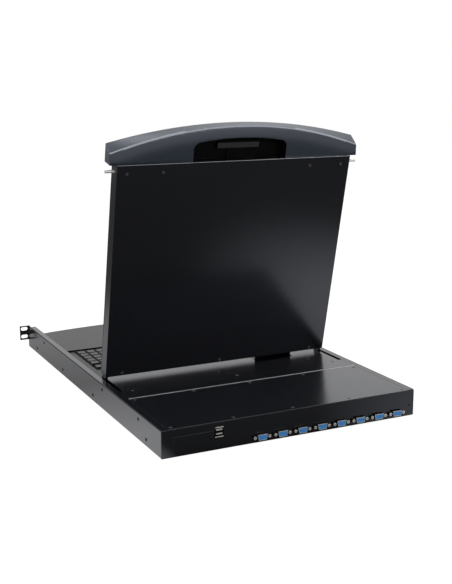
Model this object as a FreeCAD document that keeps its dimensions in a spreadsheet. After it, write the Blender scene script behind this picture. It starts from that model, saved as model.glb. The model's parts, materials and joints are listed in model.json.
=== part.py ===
"""Rackmount LCD console drawer: 1U case, sliding keyboard tray and tilting display lid.

Case parts are drawn with X across, Y from the rack face to the rear and Z up from the
underside. Lid parts are drawn shut, about the hinge axis, and turned open by their Placement.
The finished model has its origin at the centre of the rack-ear slots, on the rack face.
"""
import math
import os

import FreeCAD
import Part
import Sketcher

Vector = FreeCAD.Vector
doc = FreeCAD.newDocument("ConsoleDrawer")
sheet = doc.addObject("Spreadsheet::Sheet", "Sizes")


# ---------------------------------------------------------------- sizes
class Size:
    """A number that remembers the spreadsheet expression which gives it."""

    def __init__(self, value, text=None):
        self.value = float(value)
        self.text = repr(float(value)) if text is None else text

    def join(self, other, sign, swap=False):
        other = other if isinstance(other, Size) else Size(other)
        first, second = (other, self) if swap else (self, other)
        value = {"+": first.value + second.value, "-": first.value - second.value,
                 "*": first.value * second.value,
                 "/": first.value / second.value if sign == "/" else 0.0}[sign]
        return Size(value, "(%s %s %s)" % (first.text, sign, second.text))

    def __add__(self, other): return self.join(other, "+")
    def __radd__(self, other): return self.join(other, "+", True)
    def __sub__(self, other): return self.join(other, "-")
    def __rsub__(self, other): return self.join(other, "-", True)
    def __mul__(self, other): return self.join(other, "*")
    def __rmul__(self, other): return self.join(other, "*", True)
    def __truediv__(self, other): return self.join(other, "/")
    def __neg__(self): return self.join(-1, "*")
    def __float__(self): return self.value


row_count = 0


def size(alias, value, note):
    """Write one driving dimension to the spreadsheet and return it."""
    global row_count
    row_count += 1
    sheet.set("A%d" % row_count, note)
    sheet.set("B%d" % row_count, repr(value))
    sheet.setAlias("B%d" % row_count, alias)
    return Size(value, "Sizes." + alias)


case_width = size("case_width", 448.0, "across the side walls")
case_height = size("case_height", 43.6, "underside to top cover")
case_depth = size("case_depth", 696.0, "rack face to rear panel")
case_sheet = size("case_sheet", 1.2, "folded steel of the case and tray")
bend_radius = size("bend_radius", 1.6, "outside of each fold")
flange_width = size("flange_width", 10.8, "top flange, from the wall's outside")
flange_start = size("flange_start", 16.0, "top flange from the rack face")
fit_gap = size("fit_gap", 0.3, "between fixed covers and moving pieces")

ear_reach = size("ear_reach", 17.3, "rack ear outside the wall")
slot_reach = size("slot_reach", 8.55, "rack slot centres outside the wall")
slot_pitch = size("slot_pitch", 15.875, "rack slot centres up")
slot_low = size("slot_low", 21.8, "lower rack slot above the underside")
slot_length = size("slot_length", 14.0, "rack slot")
slot_width = size("slot_width", 7.5, "rack slot")
ear_height = size("ear_height", 28.6, "rack ear")
ear_plate = size("ear_plate", 2.0, "rack ear thickness")
ear_leg = size("ear_leg", 56.0, "rack ear leg inside the wall")

sight_hole_y = size("sight_hole_y", 50.0, "open hole in the wall")
sight_hole_z = size("sight_hole_z", 35.6, "open hole in the wall")
sight_hole = size("sight_hole", 2.6, "open hole radius")
screw_shank = size("screw_shank", 1.5, "cover screw radius")
screw_head = size("screw_head", 2.7, "cover screw head radius")
head_height = size("head_height", 0.35, "cover screw head above the sheet")
hole_gap = size("hole_gap", 0.15, "screw hole over the screw")
wall_screw_high = size("wall_screw_high", 33.8, "upper wall screws")
wall_screw_low = size("wall_screw_low", 11.2, "lower wall screws")

slide_start = size("slide_start", 57.0, "slides from the rack face")
slide_length = size("slide_length", 460.0, "outer and inner slide member")
slide_mid_short = size("slide_mid_short", 20.0, "middle member shorter than the outer")
slide_sheet = size("slide_sheet", 1.2, "slide steel")
slide_bottom = size("slide_bottom", 4.6, "outer member above the underside")
slide_height = size("slide_height", 34.4, "outer member")
slide_step = size("slide_step", 1.8, "race between two members")
cage_gap = size("cage_gap", 0.3, "ball cage to each race")

tray_floor = size("tray_floor", 3.2, "tray floor above the underside")
tray_front = size("tray_front", 25.0, "tray walls from the rack face")
tray_tail = size("tray_tail", 41.0, "tray behind the hinge arm slots")
tray_top = size("tray_top", 40.4, "top of the tray walls")
tray_wall_gap = size("tray_wall_gap", 0.6, "lid to tray wall")
palm_top = size("palm_top", 17.6, "palm rest surface")
palm_rear = size("palm_rear", 132.0, "palm rest rear edge")
palm_setback = size("palm_setback", 15.7, "palm rest behind the closed handle")
palm_wall = size("palm_wall", 2.5, "palm rest moulding")
deck_top = size("deck_top", 15.0, "plate round the keyboard")
deck_setback = size("deck_setback", 16.0, "keyboard plate to the hinge axis")

key_pitch = size("key_pitch", 19.05, "key spacing")
key_gap = size("key_gap", 1.2, "between key skirts")
key_top = size("key_top", 18.0, "top of the keys")
key_height = size("key_height", 5.0, "key cap")
key_draft = size("key_draft", 2.2, "key top inside its skirt")
key_travel = size("key_travel", 2.0, "key press")
stem_width = size("stem_width", 4.0, "key stem")
well_front = size("well_front", 137.7, "keyboard opening front edge")
well_border = size("well_border", 4.9, "keys to the opening, front and rear")
well_side = size("well_side", 0.85, "keys to the opening, each side")
function_gap = size("function_gap", 8.0, "function keys behind the number keys")

pad_width = size("pad_width", 70.0, "touch pad opening")
pad_front = size("pad_front", 45.0, "touch pad opening front edge")
pad_depth = size("pad_depth", 52.0, "touch pad opening")
button_depth = size("button_depth", 18.0, "touch pad button opening")
button_bridge = size("button_bridge", 3.0, "between pad and buttons")

face_gap = size("face_gap", 1.0, "closed handle to the rack face")
hinge_arm = size("hinge_arm", 33.0, "hinge axis to the lid end")
hinge_depth = size("hinge_depth", 21.6, "hinge axis under the lid back")
lid_recess = size("lid_recess", 0.4, "closed lid below the case top")
lid_tilt = size("lid_tilt", 12.26, "open lid past upright, degrees")
lid_inset = size("lid_inset", 12.0, "lid side inside the case wall's outside")
lid_length = size("lid_length", 368.6, "lid without its handle")
lid_thickness = size("lid_thickness", 24.5, "lid")
frame_thickness = size("frame_thickness", 3.5, "screen frame")
screen_side = size("screen_side", 43.0, "lid side to the screen")
screen_top = size("screen_top", 42.1, "lid tip to the screen")
screen_low = size("screen_low", 56.0, "lid end to the screen")
glass_lap = size("glass_lap", 4.0, "glass behind the frame")
glass_thickness = size("glass_thickness", 2.0, "screen glass")
module_lap = size("module_lap", 10.0, "display module past the screen")
module_thickness = size("module_thickness", 14.0, "display module")
pin_radius = size("pin_radius", 4.0, "hinge pin")
running_gap = size("running_gap", 0.06, "hinge pin and latch pin fits")
arm_thickness = size("arm_thickness", 4.0, "hinge arm plate")
arm_inset = size("arm_inset", 1.4, "hinge arm inside the lid side")
arm_boss = size("arm_boss", 8.0, "hinge arm boss radius")
barrel_radius = size("barrel_radius", 7.5, "hinge bracket barrel")
barrel_length = size("barrel_length", 18.0, "hinge bracket barrel inside its plate")
foot_front = size("foot_front", 12.0, "bracket foot in front of the hinge axis")
foot_rear = size("foot_rear", 22.0, "bracket foot behind the hinge axis")
cover_setback = size("cover_setback", 7.0, "hinge axis to the hinge cover")
slot_reach_back = size("slot_reach_back", 94.0, "hinge axis to the end of the arm slots")
slot_inset = size("slot_inset", 6.0, "inner edge of the arm slots inside the lid side")

handle_gap = size("handle_gap", 0.4, "handle to lid")
handle_rise = size("handle_rise", 58.0, "handle at its middle, past the lid tip")
handle_front_rise = size("handle_front_rise", 31.6, "front edge at the handle ends")
handle_back_rise = size("handle_back_rise", 21.2, "ridge at the handle ends")
handle_round = size("handle_round", 7.0, "handle end corners")
grip_width = size("grip_width", 168.0, "hand recess")
grip_rise = size("grip_rise", 38.0, "hand recess at its middle, past the lid tip")
grip_side_rise = size("grip_side_rise", 30.4, "hand recess at its sides")
grip_depth = size("grip_depth", 17.0, "hand recess")
grip_round = size("grip_round", 12.0, "hand recess corners")
lever_width = size("lever_width", 75.0, "release lever")
lever_start = size("lever_start", 18.9, "release lever past the lid tip")
lever_height = size("lever_height", 8.8, "release lever")
lever_rise = size("lever_rise", 6.5, "release lever above the recess floor")
latch_travel = size("latch_travel", 7.0, "latch pin and lever stroke")
latch_radius = size("latch_radius", 2.5, "latch pin")
latch_inset = size("latch_inset", 11.1, "latch pins from the lid tip")
latch_depth = size("latch_depth", 8.6, "latch pins under the lid back")
latch_stand = size("latch_stand", 4.5, "latch pin tip outside the wall")
latch_inner = size("latch_inner", 30.0, "latch pin inner end from the middle")
latch_slot_gap = size("latch_slot_gap", 0.7, "latch pin in its wall slot")
follower_radius = size("follower_radius", 1.5, "pin that follows the cam slot")
follower_inset = size("follower_inset", 8.0, "follower from the latch pin's inner end")
lever_plate = size("lever_plate", 2.0, "lever's cam plate thickness")
lever_neck = size("lever_neck", 36.0, "strip between the lever and its cam plate")
cam_depth = size("cam_depth", 20.0, "cam plate, along the lid")
guide_length = size("guide_length", 10.0, "latch pin guide")
guide_half = size("guide_half", 6.0, "half width of a latch pin guide")

hinge_screw_inset = size("hinge_screw_inset", 15.0, "hinge cover screws inside the slots")
hinge_screw_back = size("hinge_screw_back", 4.0, "hinge cover screws behind the slots")
rail_half = size("rail_half", 6.0, "half width of the cover rail")
lid_screw_top = size("lid_screw_top", 14.1, "upper lid screws from the lid tip")
lid_screw_bottom = size("lid_screw_bottom", 4.8, "lower lid screws from the lid end")
tab_start = size("tab_start", 71.5, "cable tab from the middle")
tab_width = size("tab_width", 73.0, "cable tab")
tab_drop = size("tab_drop", 5.0, "cable tab below the lid end")
tab_notch = size("tab_notch", 28.0, "notch in the hinge cover for the cable tab")

cover_split = size("cover_split", 1.5, "tray rear to the rear cover")
member_top = size("member_top", 14.0, "cross member under the cover")
member_drop = size("member_drop", 12.0, "cross member, top to bottom edge")
cover_screw_side = size("cover_screw_side", 7.8, "outer cover screws inside the flange")
cover_screw_edge = size("cover_screw_edge", 8.0, "cover screws from the cover's edge")
port_first = size("port_first", 58.95, "first video port from the middle")
port_edge = size("port_edge", 34.87, "last video port from the wall")
port_height = size("port_height", 8.8, "video ports above the underside")
jack_pitch = size("jack_pitch", 25.0, "video port jackscrews")
shell_width = size("shell_width", 16.6, "video port shell")
shell_height = size("shell_height", 8.6, "video port shell")
shell_reach = size("shell_reach", 5.6, "video port past the rear panel")
shell_wall = size("shell_wall", 0.4, "video port shell steel")
port_block = size("port_block", 9.0, "video port block inside the panel")
jack_radius = size("jack_radius", 2.8, "jackscrew hexagon, to its corners")
jack_length = size("jack_length", 4.6, "jackscrew outside the panel")
panel_flange = size("panel_flange", 11.0, "rear panel's top flange")
usb_edge = size("usb_edge", 93.6, "double USB socket from the wall")
usb_height = size("usb_height", 27.6, "double USB socket above the underside")
usb_wide = size("usb_wide", 13.6, "double USB socket")
usb_tall = size("usb_tall", 16.0, "double USB socket")
plate_edge = size("plate_edge", 50.9, "blanking plate from the wall")
plate_height = size("plate_height", 20.4, "blanking plate above the underside")
plate_pitch = size("plate_pitch", 57.6, "blanking plate screws")
plate_margin = size("plate_margin", 5.0, "blanking plate past its screws")
plate_tall = size("plate_tall", 20.0, "blanking plate")
reset_radius = size("reset_radius", 1.7, "reset button")
reset_edge = size("reset_edge", 90.1, "reset button from the wall")
board_bottom = size("board_bottom", 3.0, "switch board above the underside")
board_thickness = size("board_thickness", 1.6, "switch board")
board_clear = size("board_clear", 25.8, "closed tray to the switch board")
board_edge = size("board_edge", 76.0, "switch board from the wall")
board_margin = size("board_margin", 8.0, "board posts inside the board edge")
supply_width = size("supply_width", 50.0, "power supply")
supply_rear = size("supply_rear", 26.0, "power supply from the board's rear edge")
supply_height = size("supply_height", 32.8, "power supply")
doc.recompute()

# ---------------------------------------------------------------- derived places
half = case_width / 2
wall_inside = half - case_sheet
ceiling = case_height - case_sheet
opening_half = half - flange_width
panel_half = half + ear_reach
lid_half = half - lid_inset
lid_back = hinge_depth
lid_front = hinge_depth - lid_thickness
frame_back = lid_front + frame_thickness
lid_end = -hinge_arm
lid_tip = lid_end - lid_length
hinge_y = hinge_arm + lid_length + handle_gap - face_gap
hinge_z = case_height - lid_recess - hinge_depth
latch_up = lid_length - latch_inset
handle_crown = lid_length + handle_rise
handle_front_end = lid_length + handle_front_rise
handle_back_end = lid_length + handle_back_rise
grip_crown = lid_length + grip_rise
grip_side = lid_length + grip_side_rise
lever_low = lid_length + lever_start
latch_reach = half + latch_stand
cover_front = hinge_y + cover_setback
slot_end = hinge_y + slot_reach_back
slot_inner = lid_half - slot_inset
deck_end = hinge_y - deck_setback
tray_end = slot_end + tray_tail
cover_start = tray_end + cover_split
tray_inside = lid_half + tray_wall_gap
tray_outside = tray_inside + case_sheet
floor_top = tray_floor + case_sheet
latch_y = hinge_y - hinge_arm - latch_up
latch_z = hinge_z + hinge_depth - latch_depth
datum = slot_low + slot_pitch / 2
plate_half = latch_inner + 16
panel_front = case_depth - case_sheet
slide_mid_length = slide_length - slide_mid_short
slide_end = slide_start + slide_length
slide_screws = [(slide_start + 55.0, wall_screw_high), (slide_end - 73.5, wall_screw_high),
                (slide_start + 5.0, wall_screw_low), (slide_start + 171.5, wall_screw_low),
                (slide_end - 121.0, wall_screw_low)]
rear_wall_screws = [(case_depth - 90.0, wall_screw_high), (case_depth - 58.5, wall_screw_low)]
wall_screws = slide_screws + rear_wall_screws
screen_half = lid_half - screen_side
screen_height = lid_length - screen_low - screen_top
cover_screw_pitch = (opening_half - cover_screw_side) / 2
port_pitch = (half + port_first - port_edge) / 7
usb_middle = half - usb_edge
plate_middle = half - plate_edge
reset_middle = half - reset_edge
board_left = half - board_edge


def key_rows():
    """Rows of key widths in key pitches, front row first; each row is 18 pitches wide."""
    pad = [1, 1, 1, 1]
    return [[1.25, 1, 1.25, 5.5, 1, 1, 1, 1, 1] + [2, 1, 1],
            [2.25] + [1] * 9 + [1.75, 1] + pad,
            [1.75] + [1] * 10 + [2.25] + pad,
            [1.5] + [1] * 11 + [1.5] + pad,
            [1] * 12 + [2] + pad,
            [1] * 14 + pad]


keys_half = key_pitch * 9
well_half = keys_half + well_side
well_depth = key_pitch * 6 + function_gap + well_border * 2


def row_middle(row):
    """Distance of a key row's centre line from the rack face."""
    middle = well_front + well_border + key_pitch * (row + 0.5)
    return middle + function_gap if row == 5 else middle


# ---------------------------------------------------------------- modelling helpers
def bind(feature, name, value):
    """Tie one property of a feature to the spreadsheet."""
    if isinstance(value, Size):
        feature.setExpression(name, value.text)


def new_body(label):
    made = doc.addObject("PartDesign::Body", label)
    made.Label = label
    return made


def rect(x0, x1, y0, y1):
    return [(x0, y0), (x1, y0), (x1, y1), (x0, y1)]


def centred(x, y, wide, high):
    return rect(x - wide / 2, x + wide / 2, y - high / 2, y + high / 2)


def ring(x, y, radius, sides=8):
    """A many-sided loop round a point, for holes and shanks."""
    turns = [2 * math.pi * i / sides for i in range(sides)]
    return [(x + radius * round(math.cos(turn), 4), y + radius * round(math.sin(turn), 4))
            for turn in turns]


def slot(x, y, length, width):
    """A slot with round ends that runs along the sketch's first axis."""
    return ("slot", x, y, length, width)


def arched(points, crown):
    """A closed outline whose last side is an arc through the crown on the centre line."""
    return ("arched", points, crown)


def hold(sketch, kind, geometry, point, value):
    """Hold a sketch point at a distance from the origin, tied to the spreadsheet."""
    value = value if isinstance(value, Size) else Size(value)
    index = sketch.addConstraint(
        Sketcher.Constraint(kind, -1, 1, geometry, point, value.value))
    bind(sketch, "Constraints[%d]" % index, value)


def draw_points(sketch, points, closed=True):
    """Draw joined lines through points and hold every corner."""
    first = sketch.GeometryCount
    spots = [Vector(float(x), float(y), 0) for x, y in points]
    count = len(points) if closed else len(points) - 1
    for i in range(count):
        sketch.addGeometry(Part.LineSegment(spots[i], spots[(i + 1) % len(points)]), False)
    for i in range(count - 1 if not closed else count):
        following = first + (i + 1) % count
        sketch.addConstraint(Sketcher.Constraint("Coincident", first + i, 2, following, 1))
    for i in range(count):
        hold(sketch, "DistanceX", first + i, 1, points[i][0])
        hold(sketch, "DistanceY", first + i, 1, points[i][1])
    if not closed:
        hold(sketch, "DistanceX", first + count - 1, 2, points[-1][0])
        hold(sketch, "DistanceY", first + count - 1, 2, points[-1][1])
    return first


def draw_slot(sketch, x, y, length, width):
    radius = width / 2
    reach = (length - width) / 2
    up = Vector(0, 0, 1)
    left = Part.Circle(Vector(float(x - reach), float(y), 0), up, float(radius))
    right = Part.Circle(Vector(float(x + reach), float(y), 0), up, float(radius))
    first = sketch.addGeometry(Part.ArcOfCircle(left, math.pi / 2, 3 * math.pi / 2), False)
    sketch.addGeometry(Part.ArcOfCircle(right, -math.pi / 2, math.pi / 2), False)
    for side in (-1, 1):
        level = float(y) + side * float(radius)
        start = Vector(float(x) + side * float(reach), level, 0)
        end = Vector(float(x) - side * float(reach), level, 0)
        sketch.addGeometry(Part.LineSegment(start, end), False)
    joins = [(0, 2, 2, 1), (2, 2, 1, 1), (1, 2, 3, 1), (3, 2, 0, 1)]
    for one, end_one, two, end_two in joins:
        sketch.addConstraint(
            Sketcher.Constraint("Tangent", first + one, end_one, first + two, end_two))
    for arc, middle in ((0, x - reach), (1, x + reach)):
        hold(sketch, "DistanceX", first + arc, 3, middle)
        hold(sketch, "DistanceY", first + arc, 3, y)
    index = sketch.addConstraint(Sketcher.Constraint("Radius", first, radius.value))
    bind(sketch, "Constraints[%d]" % index, radius)


def draw_arched(sketch, points, crown):
    """Lines from the right end to the left, closed by an arc that dips to the crown.

    The two ends are mirrored about the centre line and level with each other.
    """
    first = draw_points(sketch, points, closed=False)
    x, y = points[-1]
    x = x if isinstance(x, Size) else Size(x)
    rise = crown - y
    radius = (x * x + rise * rise) / (rise * 2)
    centre = crown - radius
    bow = Part.Circle(Vector(0, float(centre), 0), Vector(0, 0, 1), abs(float(radius)))
    reach = math.asin(float(points[0][0]) / abs(float(radius)))
    down = -math.pi / 2
    arc = sketch.addGeometry(Part.ArcOfCircle(bow, down - reach, down + reach), False)
    sketch.addConstraint(Sketcher.Constraint("Coincident", arc - 1, 2, arc, 1))
    sketch.addConstraint(Sketcher.Constraint("Coincident", arc, 2, first, 1))
    hold(sketch, "DistanceY", arc, 3, centre)


def sketch_on(host, role, offset, loops):
    """A sketch parallel to one of the body's base planes, with the given closed loops."""
    made = host.newObject("Sketcher::SketchObject", host.Label + "_outline")
    plane = [item for item in host.Origin.OriginFeatures if item.Role == role][0]
    made.AttachmentSupport = [(plane, "")]
    made.MapMode = "FlatFace"
    offset = offset if isinstance(offset, Size) else Size(offset)
    made.AttachmentOffset = FreeCAD.Placement(Vector(0, 0, offset.value), FreeCAD.Rotation())
    bind(made, "AttachmentOffset.Base.z", offset)
    for loop in loops:
        if loop[0] == "slot":
            draw_slot(made, *loop[1:])
        elif loop[0] == "arched":
            draw_arched(made, *loop[1:])
        else:
            draw_points(made, loop)
    return made


def feature(host, kind, profile, length):
    made = host.newObject("PartDesign::" + kind, host.Label + "_" + kind.lower())
    made.Profile = profile
    made.Length = float(length)
    bind(made, "Length", length if isinstance(length, Size) else Size(length))
    profile.Visibility = False
    return made


def pad_z(host, z0, z1, *loops):
    return feature(host, "Pad", sketch_on(host, "XY_Plane", z0, loops), z1 - z0)


def pad_x(host, x0, x1, *loops):
    return feature(host, "Pad", sketch_on(host, "YZ_Plane", x0, loops), x1 - x0)


def pad_y(host, y0, y1, *loops):
    """The XZ plane faces -Y, so the sketch stands at the far end."""
    return feature(host, "Pad", sketch_on(host, "XZ_Plane", y1 * -1, loops), y1 - y0)


def cut_z(host, z0, z1, *loops):
    return feature(host, "Pocket", sketch_on(host, "XY_Plane", z1, loops), z1 - z0)


def cut_x(host, x0, x1, *loops):
    return feature(host, "Pocket", sketch_on(host, "YZ_Plane", x1, loops), x1 - x0)


def cut_y(host, y0, y1, *loops):
    return feature(host, "Pocket", sketch_on(host, "XZ_Plane", y0 * -1, loops), y1 - y0)


def soften(host, kind, base, wanted, radius):
    """Fillet or chamfer the edges of the base feature whose middle passes the test."""
    doc.recompute()
    names = []
    for i, edge in enumerate(base.Shape.Edges):
        box = edge.BoundBox
        if wanted(box, edge):
            names.append("Edge%d" % (i + 1))
    made = host.newObject("PartDesign::" + kind, host.Label + "_" + kind.lower())
    made.Base = (base, names)
    name = "Radius" if kind == "Fillet" else "Size"
    setattr(made, name, float(radius))
    bind(made, name, radius)
    return made


def solid_node(label, shapes):
    """A sub-part made of shapes, each one a separate solid."""
    made = doc.addObject("Part::Feature", label)
    made.Label = label
    solids = [solid for shape in shapes for solid in shape.Solids]
    made.Shape = solids[0] if len(solids) == 1 else Part.makeCompound(solids)
    return made


def block(x0, x1, y0, y1, z0, z1):
    low = Vector(float(x0), float(y0), float(z0))
    return Part.makeBox(float(x1) - float(x0), float(y1) - float(y0), float(z1) - float(z0), low)


def prism(corners, radius, low, high):
    """A regular prism round the Z axis."""
    turns = [2 * math.pi * i / corners for i in range(corners)]
    points = [Vector(float(radius) * math.cos(a), float(radius) * math.sin(a), float(low))
              for a in turns]
    face = Part.Face(Part.makePolygon(points + points[:1]))
    return face.extrude(Vector(0, 0, float(high) - float(low)))


def stand(shape, point, axis):
    """Move a shape drawn up the Z axis to a point, along another axis."""
    turn = FreeCAD.Rotation(Vector(0, 0, 1), Vector(*axis))
    move = FreeCAD.Placement(Vector(*map(float, point)), turn)
    return shape.transformed(move.toMatrix(), copy=True)


def rod(point, axis, length, radius, sides=16):
    """A round bar with few faces, from a point along an axis."""
    return stand(prism(sides, radius, 0, length), point, axis)


def screw(point, axis, grip, head=screw_head, rise=head_height):
    """A low-headed screw: its head stands on the point and its shank goes down the axis."""
    body = prism(8, head, 0, rise).fuse(prism(6, screw_shank, -float(grip), 0))
    return stand(body, point, axis)


sides = {"left": 1, "right": -1}


# ---------------------------------------------------------------- case
def make_case_pan():
    """Floor, side walls and top flanges, folded from one sheet."""
    host = new_body("case_pan")
    profile = [(-half, 0), (half, 0), (half, case_height), (opening_half, case_height),
               (opening_half, ceiling), (wall_inside, ceiling), (wall_inside, case_sheet),
               (-wall_inside, case_sheet), (-wall_inside, ceiling), (-opening_half, ceiling),
               (-opening_half, case_height), (-half, case_height)]
    folded = pad_y(host, ear_plate, panel_front, profile)

    def outer_fold(box, edge):
        return box.YLength > 600 and abs(abs(box.XMin) - float(half)) < 0.01
    soften(host, "Fillet", folded, outer_fold, bend_radius)
    cut_z(host, ceiling - 0.1, case_height + 1,
          rect(-wall_inside, wall_inside, Size(-1), flange_start))
    reach = latch_radius + latch_slot_gap
    across = half + 5
    cut_x(host, -across, across, rect(latch_y - reach, latch_y + reach, latch_z, case_height + 1))
    cut_x(host, -across, across, ring(latch_y, latch_z, reach, 16))
    cut_x(host, -across, across, ring(sight_hole_y, sight_hole_z, sight_hole, 16))
    hole = screw_shank + hole_gap
    cut_x(host, -across, across, *[ring(y, z, hole) for y, z in wall_screws])
    return host


def make_rack_ear(side):
    """Angle bracket: slotted ear on the rack face, leg inside the wall."""
    host = new_body("rack_ear_" + side)
    s = sides[side]
    top = case_height
    low = top - ear_height
    inner = wall_inside - ear_plate
    pad_y(host, Size(0), ear_plate, rect(inner * s, panel_half * s, low, top))
    pad_y(host, ear_plate / 2, ear_leg, rect(inner * s, wall_inside * s, low, top - case_sheet))
    for level in (slot_low, slot_low + slot_pitch):
        cut_y(host, Size(-1), ear_plate + 1, slot((half + slot_reach) * s, level, slot_length, slot_width))
    cut_x(host, -half - 5, half + 5, ring(sight_hole_y, sight_hole_z, sight_hole, 16))
    reach = latch_radius + latch_slot_gap
    cut_x(host, -half - 5, half + 5,
          rect(latch_y - reach, latch_y + reach, latch_z - reach, case_height + 1))
    return host


def port_places():
    return [port_first - port_pitch * i for i in range(8)]


def d_outline(x, z, wide, high):
    """The D shape of a video port, wider at the top."""
    slope = high * 0.18
    return [(x - wide / 2, z + high / 2), (x + wide / 2, z + high / 2),
            (x + wide / 2 - slope, z - high / 2), (x - wide / 2 + slope, z - high / 2)]


def make_rear_panel():
    host = new_body("rear_panel")
    top = ceiling
    pad_y(host, panel_front, case_depth, rect(-half, half, 0, top))
    pad_y(host, panel_front - panel_flange, panel_front + case_sheet / 2,
          rect(-opening_half + 1, opening_half - 1, top - case_sheet, top))
    ports = [d_outline(x, port_height, shell_width + 0.4, shell_height + 0.4)
             for x in port_places()]
    cut_y(host, panel_front - 1, case_depth + 1, *ports)
    jacks = [ring(x + jack_pitch / 2 * s, port_height, screw_shank + hole_gap)
             for x in port_places() for s in (-1, 1)]
    cut_y(host, panel_front - 1, case_depth + 1, *jacks)
    cut_y(host, panel_front - 1, case_depth + 1,
          centred(usb_middle, usb_height, usb_wide + 0.4, usb_tall + 0.4),
          centred(plate_middle, plate_height, plate_pitch - 10, Size(15)),
          ring(plate_middle - plate_pitch / 2, plate_height, screw_shank + hole_gap),
          ring(plate_middle + plate_pitch / 2, plate_height, screw_shank + hole_gap),
          ring(reset_middle, port_height - 0.5, reset_radius + 0.4))
    hole = screw_shank + hole_gap
    cut_z(host, top - case_sheet - 1, top + 1,
          *[ring(x, case_depth - cover_screw_edge, hole) for x in cover_screw_places()])
    return host


def cover_screw_places():
    return [cover_screw_pitch * i for i in (-2, -1, 0, 1, 2)]


def make_rear_cover():
    """Flat screwed lid over the switch, level with the side flanges."""
    host = new_body("rear_cover")
    edge = opening_half - fit_gap
    pad_z(host, ceiling, case_height, rect(-edge, edge, cover_start, case_depth))
    rows = (cover_start + cover_screw_edge, case_depth - cover_screw_edge)
    hole = screw_shank + hole_gap
    cut_z(host, ceiling - 1, case_height + 1,
          *[ring(x, y, hole) for y in rows for x in cover_screw_places()])
    return host


def make_cross_member():
    """Angle across the case that carries the front edge of the rear cover."""
    host = new_body("cross_member")
    front = cover_start + 1.5
    rear = front + member_top
    low = ceiling - member_drop
    profile = [(front, ceiling), (rear, ceiling), (rear, low), (rear - case_sheet, low),
               (rear - case_sheet, ceiling - case_sheet), (front, ceiling - case_sheet)]
    pad_x(host, -wall_inside, wall_inside, profile)
    hole = screw_shank + hole_gap
    cut_z(host, ceiling - case_sheet - 1, ceiling + 1,
          *[ring(x, cover_start + cover_screw_edge, hole) for x in cover_screw_places()])
    return host


def channel(s, web0, web1, lip, z0, z1):
    """Outline of a channel whose web lies between web0 and web1 and whose lips end at lip."""
    return [(web0 * s, z0), (lip * s, z0), (lip * s, z0 + slide_sheet), (web1 * s, z0 + slide_sheet),
            (web1 * s, z1 - slide_sheet), (lip * s, z1 - slide_sheet), (lip * s, z1),
            (web0 * s, z1)]


outer_web = wall_inside - slide_sheet
mid_web = outer_web - slide_sheet
mid_low = slide_bottom + slide_sheet + slide_step
mid_high = slide_bottom + slide_height - slide_sheet - slide_step
inner_low = mid_low + slide_sheet + slide_step
inner_high = mid_high - slide_sheet - slide_step
lip_inside = tray_outside + slide_sheet + 0.9


def make_slide(side, label, outline, start, length):
    host = new_body(label + "_" + side)
    pad_y(host, start, start + length, outline)
    return host


def make_slides():
    made = {}
    for side, s in sides.items():
        outer = channel(s, wall_inside, outer_web, lip_inside + 0.3,
                        slide_bottom, slide_bottom + slide_height)
        made["slide_outer_" + side] = make_slide(side, "slide_outer", outer,
                                                 slide_start, slide_length)
        hole = screw_shank + hole_gap
        cut_x(made["slide_outer_" + side], -half, half,
              *[ring(y, z, hole) for y, z in slide_screws])
        inner = channel(s, tray_outside, tray_outside + slide_sheet, mid_web - slide_sheet - 1,
                        inner_low, inner_high)
        made["slide_inner_" + side] = make_slide(side, "slide_inner", inner,
                                                 slide_start, slide_length)
        mid = Part.Face(Part.makePolygon([
            Vector(float(x), 0, float(z)) for x, z in
            closed(channel(s, mid_web, mid_web - slide_sheet, lip_inside, mid_low, mid_high))]))
        member = mid.extrude(Vector(0, float(slide_mid_length), 0))
        member.translate(Vector(0, float(slide_start), 0))
        cages = []
        near = mid_web - slide_sheet - 0.6
        for low, high in ((slide_bottom + slide_sheet, mid_low), (mid_high, slide_bottom
                          + slide_height - slide_sheet), (mid_low + slide_sheet, inner_low),
                          (inner_high, mid_high - slide_sheet)):
            xs = sorted((float(near * s), float((near - 2.2) * s)))
            cages.append(block(xs[0], xs[1], slide_start + slide_mid_length * 0.25,
                               slide_start + slide_mid_length * 0.8,
                               low + cage_gap, high - cage_gap))
        made["slide_mid_" + side] = solid_node("slide_mid_" + side, [member] + cages)
    return made


def closed(points):
    return points + points[:1]


def make_case_screws():
    wall = [screw((half * s, y, z), (s, 0, 0), case_sheet + slide_sheet)
            for s in (1, -1) for y, z in wall_screws]
    rows = (cover_start + cover_screw_edge, case_depth - cover_screw_edge)
    cover = [screw((x, y, case_height), (0, 0, 1), 2.4)
             for y in rows for x in cover_screw_places()]
    return {"side_screws": solid_node("side_screws", wall),
            "cover_screws": solid_node("cover_screws", cover)}


# ---------------------------------------------------------------- switch at the rear
board_top = board_bottom + board_thickness
board_rear = panel_front - 1
board_front = tray_end + board_clear
board_right = port_first - port_pitch * 7 - shell_width


def make_board():
    """Circuit board on hexagonal posts, with the power supply beside it."""
    board = block(board_right, board_left, board_front, board_rear, board_bottom, board_top)
    left, right = board_left - board_margin, board_right + board_margin
    posts = [stand(prism(6, 3.0, 0, board_bottom - case_sheet), (x, y, case_sheet), (0, 0, 1))
             for x in (left, (left + right) / 2, right)
             for y in (board_front + board_margin, board_rear - board_margin * 4)]
    supply = block(board_left + board_margin, board_left + board_margin + supply_width,
                   board_front, board_rear - supply_rear, case_sheet,
                   case_sheet + supply_height)
    return {"switch_board": solid_node("switch_board", [board]),
            "board_posts": solid_node("board_posts", posts),
            "power_supply": solid_node("power_supply", [supply])}


def port_prism(x, wide, high, y0, y1):
    """A length of the video port's D shape."""
    outline = [Vector(float(a), float(y0), float(b))
               for a, b in closed(d_outline(x, port_height, wide, high))]
    return Part.Face(Part.makePolygon(outline)).extrude(Vector(0, float(y1) - float(y0), 0))


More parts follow.
